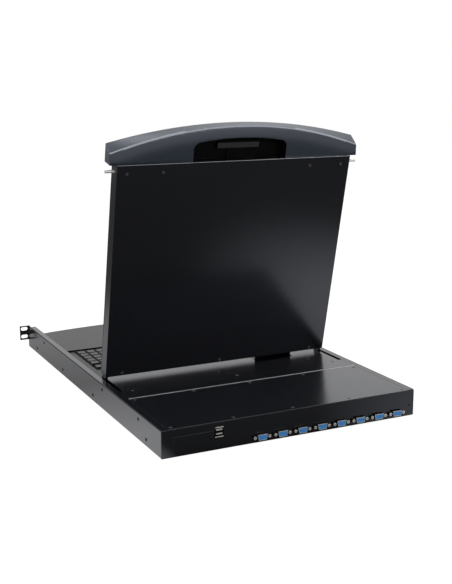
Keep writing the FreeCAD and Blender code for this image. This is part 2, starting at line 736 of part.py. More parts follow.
def make_ports():
    """Eight video ports: shell with its board block, blue insert and two jackscrews each."""
    shells, inserts, jacks = [], [], []
    rear, inside = case_depth, panel_front
    wall = shell_wall
    tip = rear + shell_reach
    for x in port_places():
        reach = jack_pitch / 2 + jack_radius + 0.1
        housing = block(x - reach, x + reach, inside - port_block, inside, board_top,
                        port_height + shell_height / 2 + 1.9)
        tube = port_prism(x, shell_width, shell_height, inside - 1, tip)
        hollow = port_prism(x, shell_width - wall * 2, shell_height - wall * 2, inside - 6,
                            tip + 1)
        shell = housing.fuse(tube).cut(hollow)
        for s in (-1, 1):
            nut = prism(6, jack_radius, 0, jack_length).fuse(prism(6, screw_shank, -float(case_sheet), 0))
            jacks.append(stand(nut, (x + jack_pitch / 2 * s, rear, port_height), (0, 1, 0)))
        shells.append(shell)
        inserts.append(port_prism(x, shell_width - wall * 2 - 0.2, shell_height - wall * 2 - 0.2,
                                  inside - 6, tip - 0.5))
    return {"vga_shells": solid_node("vga_shells", shells),
            "vga_inserts": solid_node("vga_inserts", inserts),
            "vga_jackscrews": solid_node("vga_jackscrews", jacks)}


def make_usb():
    """Double USB socket: a can with two mouths, each with its tongue."""
    x, z, wide, tall = usb_middle, usb_height, usb_wide / 2, usb_tall / 2
    rear = case_depth
    depth, wall, step = 18, 0.8, usb_tall * 0.244
    can = block(x - wide, x + wide, rear - depth, rear + 1, z - tall, z + tall)
    can = can.fuse(block(x - wide, x + wide, rear - depth, rear - 7, board_top, z))
    tongues = []
    for s in (-1, 1):
        middle = z + step * s
        can = can.cut(block(x - wide + wall, x + wide - wall, rear - depth + 3, rear + 2,
                            middle - 2.8, middle + 2.8))
        tongues.append(block(x - wide + 1.6, x + wide - 1.6, rear - depth + 3, rear - 1,
                             middle + 0.2, middle + 2.2))
    return {"usb_shell": solid_node("usb_shell", [can]),
            "usb_tongues": solid_node("usb_tongues", tongues)}


def make_plate():
    """Screwed blanking plate and the reset button beside it."""
    x, z, spread, rear = plate_middle, plate_height, plate_pitch / 2, case_depth
    plate = block(x - spread - plate_margin, x + spread + plate_margin, rear, rear + case_sheet,
                  z - plate_tall / 2, z + plate_tall / 2)
    screws = []
    for s in (-1, 1):
        place = (x + spread * s, rear - 1, z)
        plate = plate.cut(stand(prism(8, screw_shank + hole_gap, 0, 4), place, (0, 1, 0)))
        screws.append(screw((x + spread * s, rear + case_sheet, z), (0, 1, 0), 4.0, 2.8, 0.9))
    button = stand(prism(12, reset_radius, 0, 6.2), (reset_middle, rear - 5.5, port_height - 0.5),
                   (0, 1, 0))
    return {"blank_plate": solid_node("blank_plate", [plate]),
            "rear_screws": solid_node("rear_screws", screws),
            "reset_button": solid_node("reset_button", [button])}


# ---------------------------------------------------------------- tray
def front_arc(setback, width):
    """Y of the curved front edge at its middle and at the given half width."""
    crown = hinge_y - hinge_arm - handle_crown + setback
    rise = handle_crown - handle_front_end
    radius = (half * half + rise * rise) / (rise * 2)
    drop = width * width / (radius * 2)
    return crown, crown + drop


def make_tray_pan():
    host = new_body("tray_pan")
    edge = lid_half
    crown, corner = front_arc(palm_setback + 1, edge)
    pad_z(host, tray_floor, floor_top,
          arched([(edge, corner), (edge, tray_front), (tray_outside, tray_front),
                  (tray_outside, tray_end), (-tray_outside, tray_end),
                  (-tray_outside, tray_front), (-edge, tray_front), (-edge, corner)], crown))
    pad_z(host, tray_floor + case_sheet / 2, tray_top,
          rect(tray_inside, tray_outside, tray_front, tray_end))
    pad_z(host, tray_floor + case_sheet / 2, tray_top,
          rect(-tray_outside, -tray_inside, tray_front, tray_end))
    pad_z(host, tray_floor + case_sheet / 2, ceiling,
          rect(-tray_inside - case_sheet / 2, tray_inside + case_sheet / 2,
               tray_end - case_sheet, tray_end))
    return host


def make_palm_rest():
    """Moulded palm rest: bowed front, hollow underneath, openings for the touch pad."""
    host = new_body("palm_rest")
    edge = lid_half
    crown, corner = front_arc(palm_setback, edge)
    outer = pad_z(host, floor_top, palm_top,
                  arched([(edge, corner), (edge, palm_rear), (-edge, palm_rear),
                          (-edge, corner)], crown))

    def front_edge(box, edge_shape):
        return box.YMax < 0 and box.ZMin > float(palm_top) - 0.01
    soften(host, "Fillet", outer, front_edge, Size(4.0))
    inner_edge = edge - palm_wall
    cut_z(host, floor_top - 1, palm_top - palm_wall,
          arched([(inner_edge, corner + palm_wall), (inner_edge, palm_rear - palm_wall),
                  (-inner_edge, palm_rear - palm_wall), (-inner_edge, corner + palm_wall)],
                 crown + palm_wall))
    first = pad_front - button_bridge
    cut_z(host, palm_top - palm_wall - 1, palm_top + 1,
          rect(-pad_width / 2, pad_width / 2, pad_front, pad_front + pad_depth),
          rect(-pad_width / 2, pad_width / 2, first - button_depth, first))
    return host


def make_pointing():
    made = {}
    inset = fit_gap
    wide = float(pad_width) / 2 - float(inset)
    made["touch_pad"] = solid_node("touch_pad", [
        block(-wide, wide, pad_front + inset, pad_front + pad_depth - inset,
              palm_top - 4, palm_top - 0.3)])
    first = float(pad_front - button_bridge)
    for side, s in sides.items():
        xs = sorted((s * 0.4, s * wide))
        made["touch_button_" + side] = solid_node("touch_button_" + side, [
            block(xs[0], xs[1], first - float(button_depth) + float(inset), first - float(inset),
                  palm_top - 3.4, palm_top - 0.1)])
    return made


def make_keyboard_deck():
    """Folded plate round the keyboard, standing on the tray floor."""
    host = new_body("keyboard_deck")
    edge = lid_half + tray_wall_gap - fit_gap
    inside = edge - case_sheet
    profile = [(-edge, floor_top), (-inside, floor_top), (-inside, deck_top - case_sheet),
               (inside, deck_top - case_sheet), (inside, floor_top), (edge, floor_top),
               (edge, deck_top), (-edge, deck_top)]
    pad_y(host, palm_rear + 0.3, deck_end, profile)
    cut_z(host, deck_top - case_sheet - 1, deck_top + 1,
          rect(-well_half, well_half, well_front, well_front + well_depth))
    return host


def key_places(row):
    """Middle and width of each key of a row, from the user's left to right."""
    left = -float(keys_half)
    for width in key_rows()[row]:
        span = width * float(key_pitch)
        yield left + span / 2, span
        left += span


def make_keyboard():
    made = {}
    gap, draft = float(key_gap), float(key_draft)
    low = float(key_top - key_height)
    high = float(key_top)
    stem = float(stem_width)
    base_top = low - float(key_travel) - 0.3
    pit_floor = float(floor_top) + 1.0
    stem_foot = pit_floor + float(key_travel) + 0.3
    reach = stem / 2 + float(fit_gap)
    troughs = []
    for row in range(6):
        y = float(row_middle(row))
        caps = []
        for x, span in key_places(row):
            w, d = span - gap, float(key_pitch) - gap
            cap = Part.makeWedge(x - w / 2, low, y - d / 2, y - d / 2 + draft, x - w / 2 + draft,
                                 x + w / 2, high, y + d / 2, y + d / 2 - draft * 0.6,
                                 x + w / 2 - draft)
            cap.rotate(Vector(), Vector(1, 0, 0), 90)
            cap = cap.mirror(Vector(), Vector(0, 1, 0))
            caps.append(cap.fuse(block(x - stem / 2, x + stem / 2, y - stem / 2, y + stem / 2,
                                       stem_foot, low + 0.5)))
        made["key_row_%d" % (row + 1)] = solid_node("key_row_%d" % (row + 1), caps)
        end = float(keys_half) - 1
        troughs.append(block(-end, end, y - reach, y + reach, pit_floor, base_top + 1))
    inset = 0.5
    base = block(-float(well_half) + inset, float(well_half) - inset, float(well_front) + inset,
                 float(well_front + well_depth) - inset, floor_top, base_top)
    made["keyboard_base"] = solid_node("keyboard_base", [base.cut(Part.makeCompound(troughs))])
    return made


def make_hinge_cover():
    """Top plate behind the lid, with a slot at each side for the hinge arm."""
    host = new_body("hinge_cover")
    edge = opening_half - fit_gap
    wall = slot_inner - case_sheet
    pad_z(host, ceiling, case_height,
          [(-slot_inner, cover_front), (slot_inner, cover_front), (slot_inner, slot_end),
           (edge, slot_end), (edge, tray_end), (-edge, tray_end), (-edge, slot_end),
           (-slot_inner, slot_end)])
    for s in (1, -1):
        pad_z(host, floor_top, ceiling + case_sheet / 2,
              rect(wall * s, slot_inner * s, cover_front, slot_end))
    pad_z(host, ceiling - 8, ceiling + case_sheet / 2,
          rect(-wall, wall, cover_front, cover_front + case_sheet))
    cut_z(host, ceiling - 9, case_height + 1,
          rect(-tab_start - tab_width - 1, -tab_start + 1, cover_front - 1,
               cover_front + tab_notch))
    hole = screw_shank + hole_gap
    cut_z(host, ceiling - 1, case_height + 1, *[ring(x, y, hole) for x, y in hinge_screws()])
    return host


def hinge_screws():
    spread = slot_inner - hinge_screw_inset
    return [(spread * s, slot_end + hinge_screw_back) for s in (-1, 0, 1)]


def make_cover_rail():
    """Angle on the tray floor that the hinge cover is screwed down to."""
    host = new_body("cover_rail")
    front = slot_end + hinge_screw_back - rail_half
    rear = front + rail_half * 2
    web = front + case_sheet
    profile = [(front, floor_top), (rear, floor_top), (rear, floor_top + case_sheet),
               (web, floor_top + case_sheet), (web, ceiling - case_sheet),
               (rear, ceiling - case_sheet), (rear, ceiling), (front, ceiling)]
    pad_x(host, -slot_inner + slot_inset, slot_inner - slot_inset, profile)
    hole = screw_shank + hole_gap
    cut_z(host, ceiling - case_sheet - 1, ceiling + 1,
          *[ring(x, y, hole) for x, y in hinge_screws()])
    return host


def make_hinge_bracket(side):
    """Foot, upright and friction barrel that carry one hinge pin."""
    s = sides[side]
    plate_out = float(slot_inner - case_sheet - fit_gap)
    plate_in = plate_out - float(arm_thickness)
    bore = float(pin_radius) + float(running_gap)

    def across(a, b):
        return sorted((s * a, s * b))
    x0, x1 = across(plate_in, plate_out)
    low, axis = float(floor_top), float(hinge_z)
    outline = [Vector(x0, float(hinge_y) + float(y), z) for y, z in closed([
        (-foot_front, low), (foot_rear, low), (foot_rear, low + 4), (9, axis + 5),
        (5, axis + 9), (-5, axis + 9), (-9, axis + 5), (-foot_front, low + 8)])]
    upright = Part.Face(Part.makePolygon(outline)).extrude(Vector(x1 - x0, 0, 0))
    f0, f1 = across(plate_in - 16, plate_out)
    foot = block(f0, f1, hinge_y - foot_front, hinge_y + foot_rear, low, low + 2.5)
    b0, b1 = across(plate_in - float(barrel_length), plate_in + 0.5)
    barrel = rod((b0, hinge_y, axis), (1, 0, 0), b1 - b0, barrel_radius)
    p0, p1 = across(plate_in - 16, plate_out + 10)
    drill = rod((p0, hinge_y, axis), (1, 0, 0), p1 - p0, bore, 24)
    return solid_node("hinge_bracket_" + side, [upright.fuse([foot, barrel]).cut(drill)])


# ---------------------------------------------------------------- lid, drawn shut about the hinge axis
def lid_y(up):
    """Local Y of a point at a distance up the lid from its hinge end."""
    return lid_end - up


def lid_screw_places():
    upper = lid_tip + lid_screw_top
    lower = lid_end - lid_screw_bottom
    return [((lid_half - inset) * s, upper) for s in (1, -1) for inset in (17, 78)] + \
           [((lid_half - 29) * s, lower) for s in (1, 0, -1)]


def make_lid_back():
    """Shallow steel back of the lid, with a cable tab at the hinge end."""
    host = new_body("lid_back")
    pad_z(host, frame_back, lid_back, rect(-lid_half, lid_half, lid_tip, lid_end))
    inner = lid_half - case_sheet
    cut_z(host, frame_back - 1, lid_back - case_sheet,
          rect(-inner, inner, lid_tip + case_sheet, lid_end - case_sheet))
    pad_z(host, lid_back - case_sheet, lid_back,
          rect(-tab_start - tab_width, -tab_start, lid_end - 1, lid_end + tab_drop))
    reach = latch_radius + latch_slot_gap
    level = lid_back - latch_depth
    cut_x(host, -lid_half - 1, lid_half + 1, ring(lid_y(latch_up), level, reach, 16))
    arm_out = lid_half - arm_inset + 0.2
    arm_in = arm_out - arm_thickness - 0.4
    for s in (1, -1):
        cut_y(host, lid_end - case_sheet - 1, lid_end + 1,
              rect(arm_in * s, arm_out * s, frame_back - 1, lid_back - case_sheet - 1))
    cut_y(host, lid_tip - 1, lid_tip + case_sheet + 1,
          rect(-plate_half - 1, plate_half + 1, lid_back - grip_depth - 0.3,
               lid_back - grip_depth + 3))
    hole = screw_shank + hole_gap
    cut_z(host, lid_back - case_sheet - 1, lid_back + 1,
          *[ring(x, y, hole) for x, y in lid_screw_places()])
    return host


def osd_places():
    return [(Size(118.0 + 14 * i), lid_y(Size(24.0))) for i in range(4)]


def make_screen_frame():
    host = new_body("screen_frame")
    pad_z(host, lid_front, frame_back, rect(-lid_half, lid_half, lid_tip, lid_end))
    wide = screen_half
    cut_z(host, lid_front - 1, frame_back + 1,
          rect(-wide, wide, lid_y(screen_low + screen_height), lid_y(screen_low)))
    cut_z(host, lid_front - 1, frame_back + 1,
          *[ring(x, y, Size(4.0)) for x, y in osd_places()])
    return host


def make_screen():
    made = {}
    middle = float(lid_y(screen_low + screen_height / 2))
    wide, high = float(screen_half), float(screen_height) / 2
    lap = float(glass_lap)
    glass_top = float(frame_back + glass_thickness)
    made["screen_glass"] = solid_node("screen_glass", [
        block(-wide - lap, wide + lap, middle - high - lap, middle + high + lap,
              frame_back, glass_top)])
    lap = float(module_lap)
    made["display_module"] = solid_node("display_module", [
        block(-wide - lap, wide + lap, middle - high - lap, middle + high + lap,
              glass_top, glass_top + float(module_thickness))])
    for i, (x, y) in enumerate(osd_places()):
        label = "menu_button_%d" % (i + 1)
        button = prism(12, 3.5, -0.5, frame_thickness + 1).fuse(
            prism(12, 4.6, frame_thickness + 0.8, frame_thickness + 1.7))
        made[label] = solid_node(label, [stand(button, (x, y, lid_front), (0, 0, 1))])
    return made


def make_handle():
    """Bowed full-width handle, lofted from its front arc to its ridge, with a hand recess."""
    host = new_body("grip_handle")
    wide = half
    low = lid_tip - handle_gap

    def section(level, end):
        tip = wide - handle_round
        shoulder = lid_y(end - handle_round)
        return sketch_on(host, "XY_Plane", level, [
            arched([(tip, lid_y(end)), (wide, shoulder), (wide, low), (-wide, low),
                    (-wide, shoulder), (-tip, lid_y(end))], lid_y(handle_crown))])
    front = section(lid_front, handle_front_end)
    back = section(lid_back, handle_back_end)
    loft = host.newObject("PartDesign::AdditiveLoft", "grip_handle_loft")
    loft.Profile = front
    loft.Sections = [back]
    loft.Ruled = True
    grip = grip_width / 2
    recess = cut_z(host, lid_back - grip_depth, lid_back + 1,
                   arched([(grip, lid_y(grip_side)), (grip, low + 1), (-grip, low + 1),
                           (-grip, lid_y(grip_side))], lid_y(grip_crown)))

    def recess_corner(box, edge):
        return box.ZLength > 10 and abs(abs(box.XMin) - float(grip)) < 0.05 \
            and abs(box.YMin - float(lid_y(grip_side))) < 0.05 and box.YLength < 0.05
    soften(host, "Fillet", recess, recess_corner, grip_round)
    return host


def cam_slot(s):
    """Slanted slot: as the plate rises by the stroke, the follower moves in by the stroke."""
    start = Vector(s * float(latch_inner + follower_inset), float(lid_y(latch_up)), 0)
    move = float(latch_travel)
    finish = start + Vector(-s * move, move, 0)
    radius = float(follower_radius + fit_gap)
    along = (finish - start).normalize()
    start, finish = start - along * 0.4, finish + along * 0.4
    across = Vector(-along.y, along.x, 0) * radius
    run = Part.makePolygon([start + across, finish + across, finish - across, start - across,
                            start + across])
    slab = Part.Face(run).extrude(Vector(0, 0, 10))
    ends = [rod(spot, (0, 0, 1), 10, radius, 12) for spot in (start, finish)]
    return slab.fuse(ends)


def make_latch():
    """Release lever with its cam plate, and the two latch pins it draws in."""
    made = {}
    floor = float(lid_back - grip_depth)
    bottom = floor + float(fit_gap)
    top = bottom + float(lever_plate)
    low, high = float(lid_y(lever_low + lever_height)), float(lid_y(lever_low))
    wide = float(lever_width) / 2
    bar = block(-wide, wide, low, high, bottom, floor + float(lever_rise))
    wide = float(lever_neck) / 2
    neck = block(-wide, wide, high - 2, float(lid_tip) + 6, bottom, top)
    reach = float(plate_half)
    plate_low = float(lid_y(latch_up)) - float(latch_travel) - follower_radius.value
    plate = block(-reach, reach, plate_low, plate_low + float(cam_depth), bottom, top)
    lever = bar.fuse([neck, plate])
    for s in (1, -1):
        hole = cam_slot(s)
        hole.translate(Vector(0, 0, floor - 3))
        lever = lever.cut(hole)
    made["release_lever"] = solid_node("release_lever", [lever])
    y, level = float(lid_y(latch_up)), float(lid_back - latch_depth)
    guides = []
    for side, s in sides.items():
        inner, outer = float(latch_inner), float(latch_reach)
        pin = rod((s * inner, y, level), (s, 0, 0), outer - inner, latch_radius)
        follower = rod((s * (inner + float(follower_inset)), y, floor + 0.6), (0, 0, 1),
                       level - floor - 0.6, follower_radius, 8)
        made["latch_pin_" + side] = solid_node("latch_pin_" + side, [pin.fuse(follower)])
        for place in (inner + 28, float(lid_half) - 36):
            x0, x1 = sorted((s * place, s * (place + float(guide_length))))
            guide = block(x0, x1, y - guide_half.value, y + guide_half.value, frame_back,
                          lid_back - case_sheet)
            guides.append(guide.cut(rod((x0 - 1, y, level), (1, 0, 0), x1 - x0 + 2,
                                        float(latch_radius) + float(running_gap))))
    made["latch_guides"] = solid_node("latch_guides", guides)
    return made


def make_lid_hinge():
    made = {}
    pins = []
    for side, s in sides.items():
        outer = float(lid_half - arm_inset)
        inner = outer - float(arm_thickness)
        x0, x1 = sorted((s * inner, s * outer))
        boss, top = float(arm_boss), float(lid_back - case_sheet) - 1.4
        end = float(lid_end)
        outline = [Vector(x0, y, z) for y, z in (
            (end - 60, float(frame_back) + 3), (end - 60, top), (end + 2, top), (boss * 0.6, boss * 0.8),
            (boss * 0.6, -boss * 0.8), (end - 2, float(frame_back) + 3), (end - 60, float(frame_back) + 3))]
        arm = Part.Face(Part.makePolygon(outline)).extrude(Vector(x1 - x0, 0, 0))
        arm = arm.fuse(rod((x0, 0, 0), (1, 0, 0), x1 - x0, boss))
        bore = float(pin_radius) + 0.02
        arm = arm.cut(rod((x0 - 1, 0, 0), (1, 0, 0), x1 - x0 + 2, bore, 24))
        made["hinge_arm_" + side] = solid_node("hinge_arm_" + side, [arm])
        start = float(slot_inner - case_sheet - arm_thickness) - 14
        p0, p1 = sorted((s * start, s * (outer + 0.3)))
        pins.append(rod((p0, 0, 0), (1, 0, 0), p1 - p0, pin_radius, 24))
    made["hinge_pins"] = solid_node("hinge_pins", pins)
    screws = [screw((x, y, lid_back), (0, 0, 1), 3.5, 2.6, 0.3) for x, y in lid_screw_places()]
    made["lid_screws"] = solid_node("lid_screws", screws)
    return made


# ---------------------------------------------------------------- assembly
case_parts = {"case_pan": make_case_pan(), "rack_ear_left": make_rack_ear("left"),
              "rack_ear_right": make_rack_ear("right"), "rear_panel": make_rear_panel(),
              "rear_cover": make_rear_cover(), "cross_member": make_cross_member(),
              "tray_pan": make_tray_pan(), "palm_rest": make_palm_rest(),
              "keyboard_deck": make_keyboard_deck(), "hinge_cover": make_hinge_cover(),
              "cover_rail": make_cover_rail(),
              "hinge_bracket_left": make_hinge_bracket("left"),
              "hinge_bracket_right": make_hinge_bracket("right")}
for group in (make_slides(), make_case_screws(), make_board(), make_ports(), make_usb(),
              make_plate(), make_pointing(), make_keyboard()):
    case_parts.update(group)
case_parts["hinge_cover_screws"] = solid_node("hinge_cover_screws", [
    screw((x, y, case_height), (0, 0, 1), 2.4) for x, y in hinge_screws()])
lid_parts = {"lid_back": make_lid_back(), "screen_frame": make_screen_frame(),
             "grip_handle": make_handle()}
for group in (make_screen(), make_latch(), make_lid_hinge()):
    lid_parts.update(group)

case_place = FreeCAD.Placement(Vector(0, 0, -float(datum)), FreeCAD.Rotation())
lid_place = FreeCAD.Placement(Vector(0, float(hinge_y), float(hinge_z - datum)),
                              FreeCAD.Rotation(Vector(1, 0, 0), -90 - float(lid_tilt)))
for parts, place in ((case_parts, case_place), (lid_parts, lid_place)):
    for part in parts.values():
        part.Placement = place
doc.recompute()

# ---------------------------------------------------------------- tests and files
parts = {**case_parts, **lid_parts}
for item in doc.Objects:
    if "Invalid" in item.State or "Error" in item.State:
        raise RuntimeError("%s failed: %s" % (item.Label, item.State))
    if item.TypeId == "PartDesign::Pocket":
        before = item.BaseFeature.Shape.Volume
        if item.Shape.Volume > before - 1e-3:
            raise RuntimeError("%s cuts nothing" % item.Label)
for label, part in parts.items():
    if part.Shape.isNull() or not part.Shape.isValid() or not part.Shape.Solids:
        raise RuntimeError("%s has no valid solid" % label)
os.makedirs("parts", exist_ok=True)
for label, part in parts.items():
    part.Shape.exportStep(os.path.join("parts", label + ".step"))
print("%d sub-parts written" % len(parts))
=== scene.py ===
"""Looks of a one-unit rackmount console drawer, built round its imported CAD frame."""
import json
import math

import bmesh
import bpy
from bpy.props import FloatProperty, FloatVectorProperty, IntProperty, PointerProperty
from mathutils import Matrix, Vector


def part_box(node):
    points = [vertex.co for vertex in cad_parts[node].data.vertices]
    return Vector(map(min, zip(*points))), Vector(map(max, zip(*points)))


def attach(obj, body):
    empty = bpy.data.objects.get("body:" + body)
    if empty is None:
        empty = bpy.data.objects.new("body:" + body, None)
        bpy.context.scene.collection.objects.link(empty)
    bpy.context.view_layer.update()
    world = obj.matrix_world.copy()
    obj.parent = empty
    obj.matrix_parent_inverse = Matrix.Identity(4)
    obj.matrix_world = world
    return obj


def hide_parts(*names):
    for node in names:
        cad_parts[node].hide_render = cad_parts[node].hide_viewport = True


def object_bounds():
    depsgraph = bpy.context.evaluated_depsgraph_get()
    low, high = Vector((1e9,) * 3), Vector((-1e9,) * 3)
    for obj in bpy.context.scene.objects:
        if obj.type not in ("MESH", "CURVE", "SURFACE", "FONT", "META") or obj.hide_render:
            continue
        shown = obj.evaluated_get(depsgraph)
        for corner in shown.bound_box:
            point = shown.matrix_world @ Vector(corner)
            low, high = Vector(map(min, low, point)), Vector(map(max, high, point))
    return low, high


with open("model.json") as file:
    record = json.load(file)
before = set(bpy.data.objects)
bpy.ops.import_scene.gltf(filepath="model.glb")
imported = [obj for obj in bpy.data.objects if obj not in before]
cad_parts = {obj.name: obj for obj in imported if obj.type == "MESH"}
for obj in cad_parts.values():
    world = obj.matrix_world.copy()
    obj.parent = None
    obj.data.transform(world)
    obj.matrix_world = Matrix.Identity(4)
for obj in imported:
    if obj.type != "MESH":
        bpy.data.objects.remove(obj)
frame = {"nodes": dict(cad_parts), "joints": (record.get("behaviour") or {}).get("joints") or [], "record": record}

bl_info = {
    "name": "Console Drawer",
    "version": (1, 0, 0),
    "blender": (4, 5, 0),
    "location": "View3D > Sidebar > Console Drawer",
    "description": "Models and finishes a rackmount keyboard and display drawer",
    "category": "Add Mesh",
}

cad_low, cad_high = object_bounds()
BODY_OF = {node: body for body, nodes in frame["record"]["behaviour"]["bodies"].items()
           for node in nodes}
SLOT_OF = {part["node"]: part["material_slot"] for part in frame["record"]["subparts"]}
JOINTS = {joint["name"]: joint for joint in frame["joints"]}
SIDES = {"left": 1, "right": -1}
ALONG_X, ALONG_Y, ALONG_Z = (1, 0, 0), (0, 1, 0), (0, 0, 1)

# The lid's own frame: Y runs from the lid's tip to its hinge, and Z is its back.
pins_low, pins_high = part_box("hinge_pins")
HINGE = (pins_low + pins_high) / 2
LID_TURN = math.radians(JOINTS["lid_hinge"]["range_deg"][0])
LID_PLACE = Matrix.Translation((0, HINGE.y, HINGE.z)) @ Matrix.Rotation(LID_TURN, 4, "X")
LID_LOCAL = LID_PLACE.inverted()

# Points closer than this are one point, and points this near to a level lie on it.
SAME_POINT, SAME_LEVEL = 0.000002, 0.0001
# A face looks along an axis if its normal's part on that axis is more than this.
FACING = 0.99
# Sides of a thin rod and of a screw head.
ROD_SIDES, HEAD_SIDES = 12, 28


def box_of(points):
    """The lowest and highest corner of some points."""
    return (Vector([min(point[i] for point in points) for i in range(3)]),
            Vector([max(point[i] for point in points) for i in range(3)]))


def lid_box(node):
    """A lid node's corners in the lid's own frame."""
    return box_of([LID_LOCAL @ vert.co for vert in frame["nodes"][node].data.vertices])


# ------------------------------------------------------------------ settings
def colour(name, description, default):
    return FloatVectorProperty(name=name, description=description, subtype="COLOR", size=3,
                               min=0, max=1, default=default)


def length(name, description, default):
    return FloatProperty(name=name, description=description, subtype="DISTANCE",
                         unit="LENGTH", min=0, default=default, precision=5)


def share(name, description, default):
    return FloatProperty(name=name, description=description, subtype="FACTOR", min=0, max=1,
                         default=default)


class ConsoleFinish(bpy.types.PropertyGroup):
    """Colours and gloss of the drawer's surfaces."""
    coat: colour("Coat", "Black coat of the folded steel", (0.0036, 0.0039, 0.0052))
    coat_roughness: share("Coat roughness", "How soft the coat's reflections are", 0.2)
    coat_grain: share("Coat grain", "Height of the coat's fine orange peel", 0.12)
    slate: colour("Slate", "Moulded handle", (0.019, 0.0265, 0.041))
    slate_roughness: share("Slate roughness", "How soft the handle's reflections are", 0.3)
    moulding: colour("Moulding", "Palm rest and screen frame", (0.0125, 0.013, 0.0145))
    keys: colour("Keys", "Key caps", (0.011, 0.0115, 0.0125))
    zinc: colour("Zinc", "Slides, brackets and lever plate", (0.56, 0.57, 0.58))
    nickel: colour("Nickel", "Port shells and latch pins", (0.86, 0.84, 0.78))
    insert: colour("Insert", "Blue video port insert", (0.095, 0.37, 0.84))
    board: colour("Board", "Circuit board", (0.01, 0.07, 0.03))
    screen: colour("Screen", "Display that is switched off", (0.006, 0.0065, 0.0075))


class ConsoleSizes(bpy.types.PropertyGroup):
    """Small sizes that finish the pieces."""
    sheet_edge: length("Sheet edge", "Rounding on cut sheet edges", 0.00022)
    fold_edge: length("Fold edge", "Rounding on the lid's folds", 0.00054)
    plate_edge: length("Plate edge", "Rounding on slides, hinge plates and pins", 0.0003)
    moulding_edge: length("Moulding edge", "Rounding on moulded edges", 0.0009)
    touch_edge: length("Touch edge", "Rounding on the touch pad", 0.0006)
    touch_key_edge: length("Touch key edge", "Rounding on the touch pad's two keys", 0.0007)
    menu_edge: length("Menu edge", "Rounding on the menu keys", 0.0004)
    key_edge: length("Key edge", "Rounding on the key caps", 0.0006)
    key_dish: length("Key dish", "Depth of the hollow in a key top", 0.0005)
    key_segments: IntProperty(name="Key segments", description="Bevel segments on a key",
                              default=2, min=1, max=4)
    handle_edge: length("Handle edge", "Rounding on the handle's edges", 0.0007)
    handle_ridge: length("Handle ridge", "Rounding along the handle's ridge", 0.0024)
    handle_roll: length("Handle roll", "How far from the ridge the handle's back rolls over",
                        0.034)
    handle_drop: length("Handle drop", "How far the roll drops at the ridge", 0.004)
    lever_edge: length("Lever edge", "Rounding on the release lever", 0.0005)
    bolt_edge: length("Bolt edge", "Rounding on the latch bolts", 0.0006)
    shell_edge: length("Shell edge", "Rounding on the port and socket shells", 0.00012)
    screw_cross: length("Screw cross", "Width of the cross recess arms", 0.0006)
    lens: FloatProperty(name="Lens", description="Camera focal length in millimetres",
                        default=63.57, min=10)


def finish_of():
    return bpy.context.scene.console_finish


def sizes_of():
    return bpy.context.scene.console_sizes


# ------------------------------------------------------------------ shader arithmetic
# A Mix node's colour sockets go by number, since its other types have the same names.
MIX_AMOUNT, MIX_FIRST, MIX_SECOND, MIX_RESULT = 0, 6, 7, 2


def feed(tree, socket, value):
    """Link a wire to a socket, or set the socket's constant."""
    if isinstance(value, Wire):
        tree.links.new(value.socket, socket)
    elif value is not None:
        socket.default_value = value


def add_node(tree, kind, settings=None, output=0, numbered=None, **named):
    """Add a node: its settings first, then the values or links of its sockets.

    Sockets go by name, with _ for a space, or by number where names are not unique.
    """
    made = tree.nodes.new("ShaderNode" + kind)
    for key, value in (settings or {}).items():
        setattr(made, key, value)
    for key, value in (numbered or {}).items():
        feed(tree, made.inputs[key], value)
    for key, value in named.items():
        feed(tree, made.inputs[key.replace("_", " ")], value)
    return Wire(tree, made.outputs[output])


class Wire:
    """A shader socket that takes part in Python expressions."""

    def __init__(self, tree, socket):
        self.tree = tree
        self.socket = socket

    def math(self, operation, other=None, flip=False):
        """A Math node on this socket and another value, which comes first where flipped."""
        first, second = (other, self) if flip else (self, other)
        return add_node(self.tree, "Math", {"operation": operation},
                        numbered={0: first, 1: second})

    def __add__(self, other):
        return self.math("ADD", other)

    def __radd__(self, other):
        return self.math("ADD", other)

    def __sub__(self, other):
        return self.math("SUBTRACT", other)

    def __rsub__(self, other):
        return self.math("SUBTRACT", other, flip=True)

    def __mul__(self, other):
        return self.math("MULTIPLY", other)

    def __rmul__(self, other):
        return self.math("MULTIPLY", other)

    def __pow__(self, other):
        return self.math("POWER", other)

    def at_least(self, other):
        return self.math("MAXIMUM", other)

    def at_most(self, other):
        return self.math("MINIMUM", other)


def parts_of(tree, vector):
    """The X, Y and Z of a vector, as three wires."""
    first = add_node(tree, "SeparateXYZ", Vector=vector)
    return [Wire(tree, socket) for socket in first.socket.node.outputs]


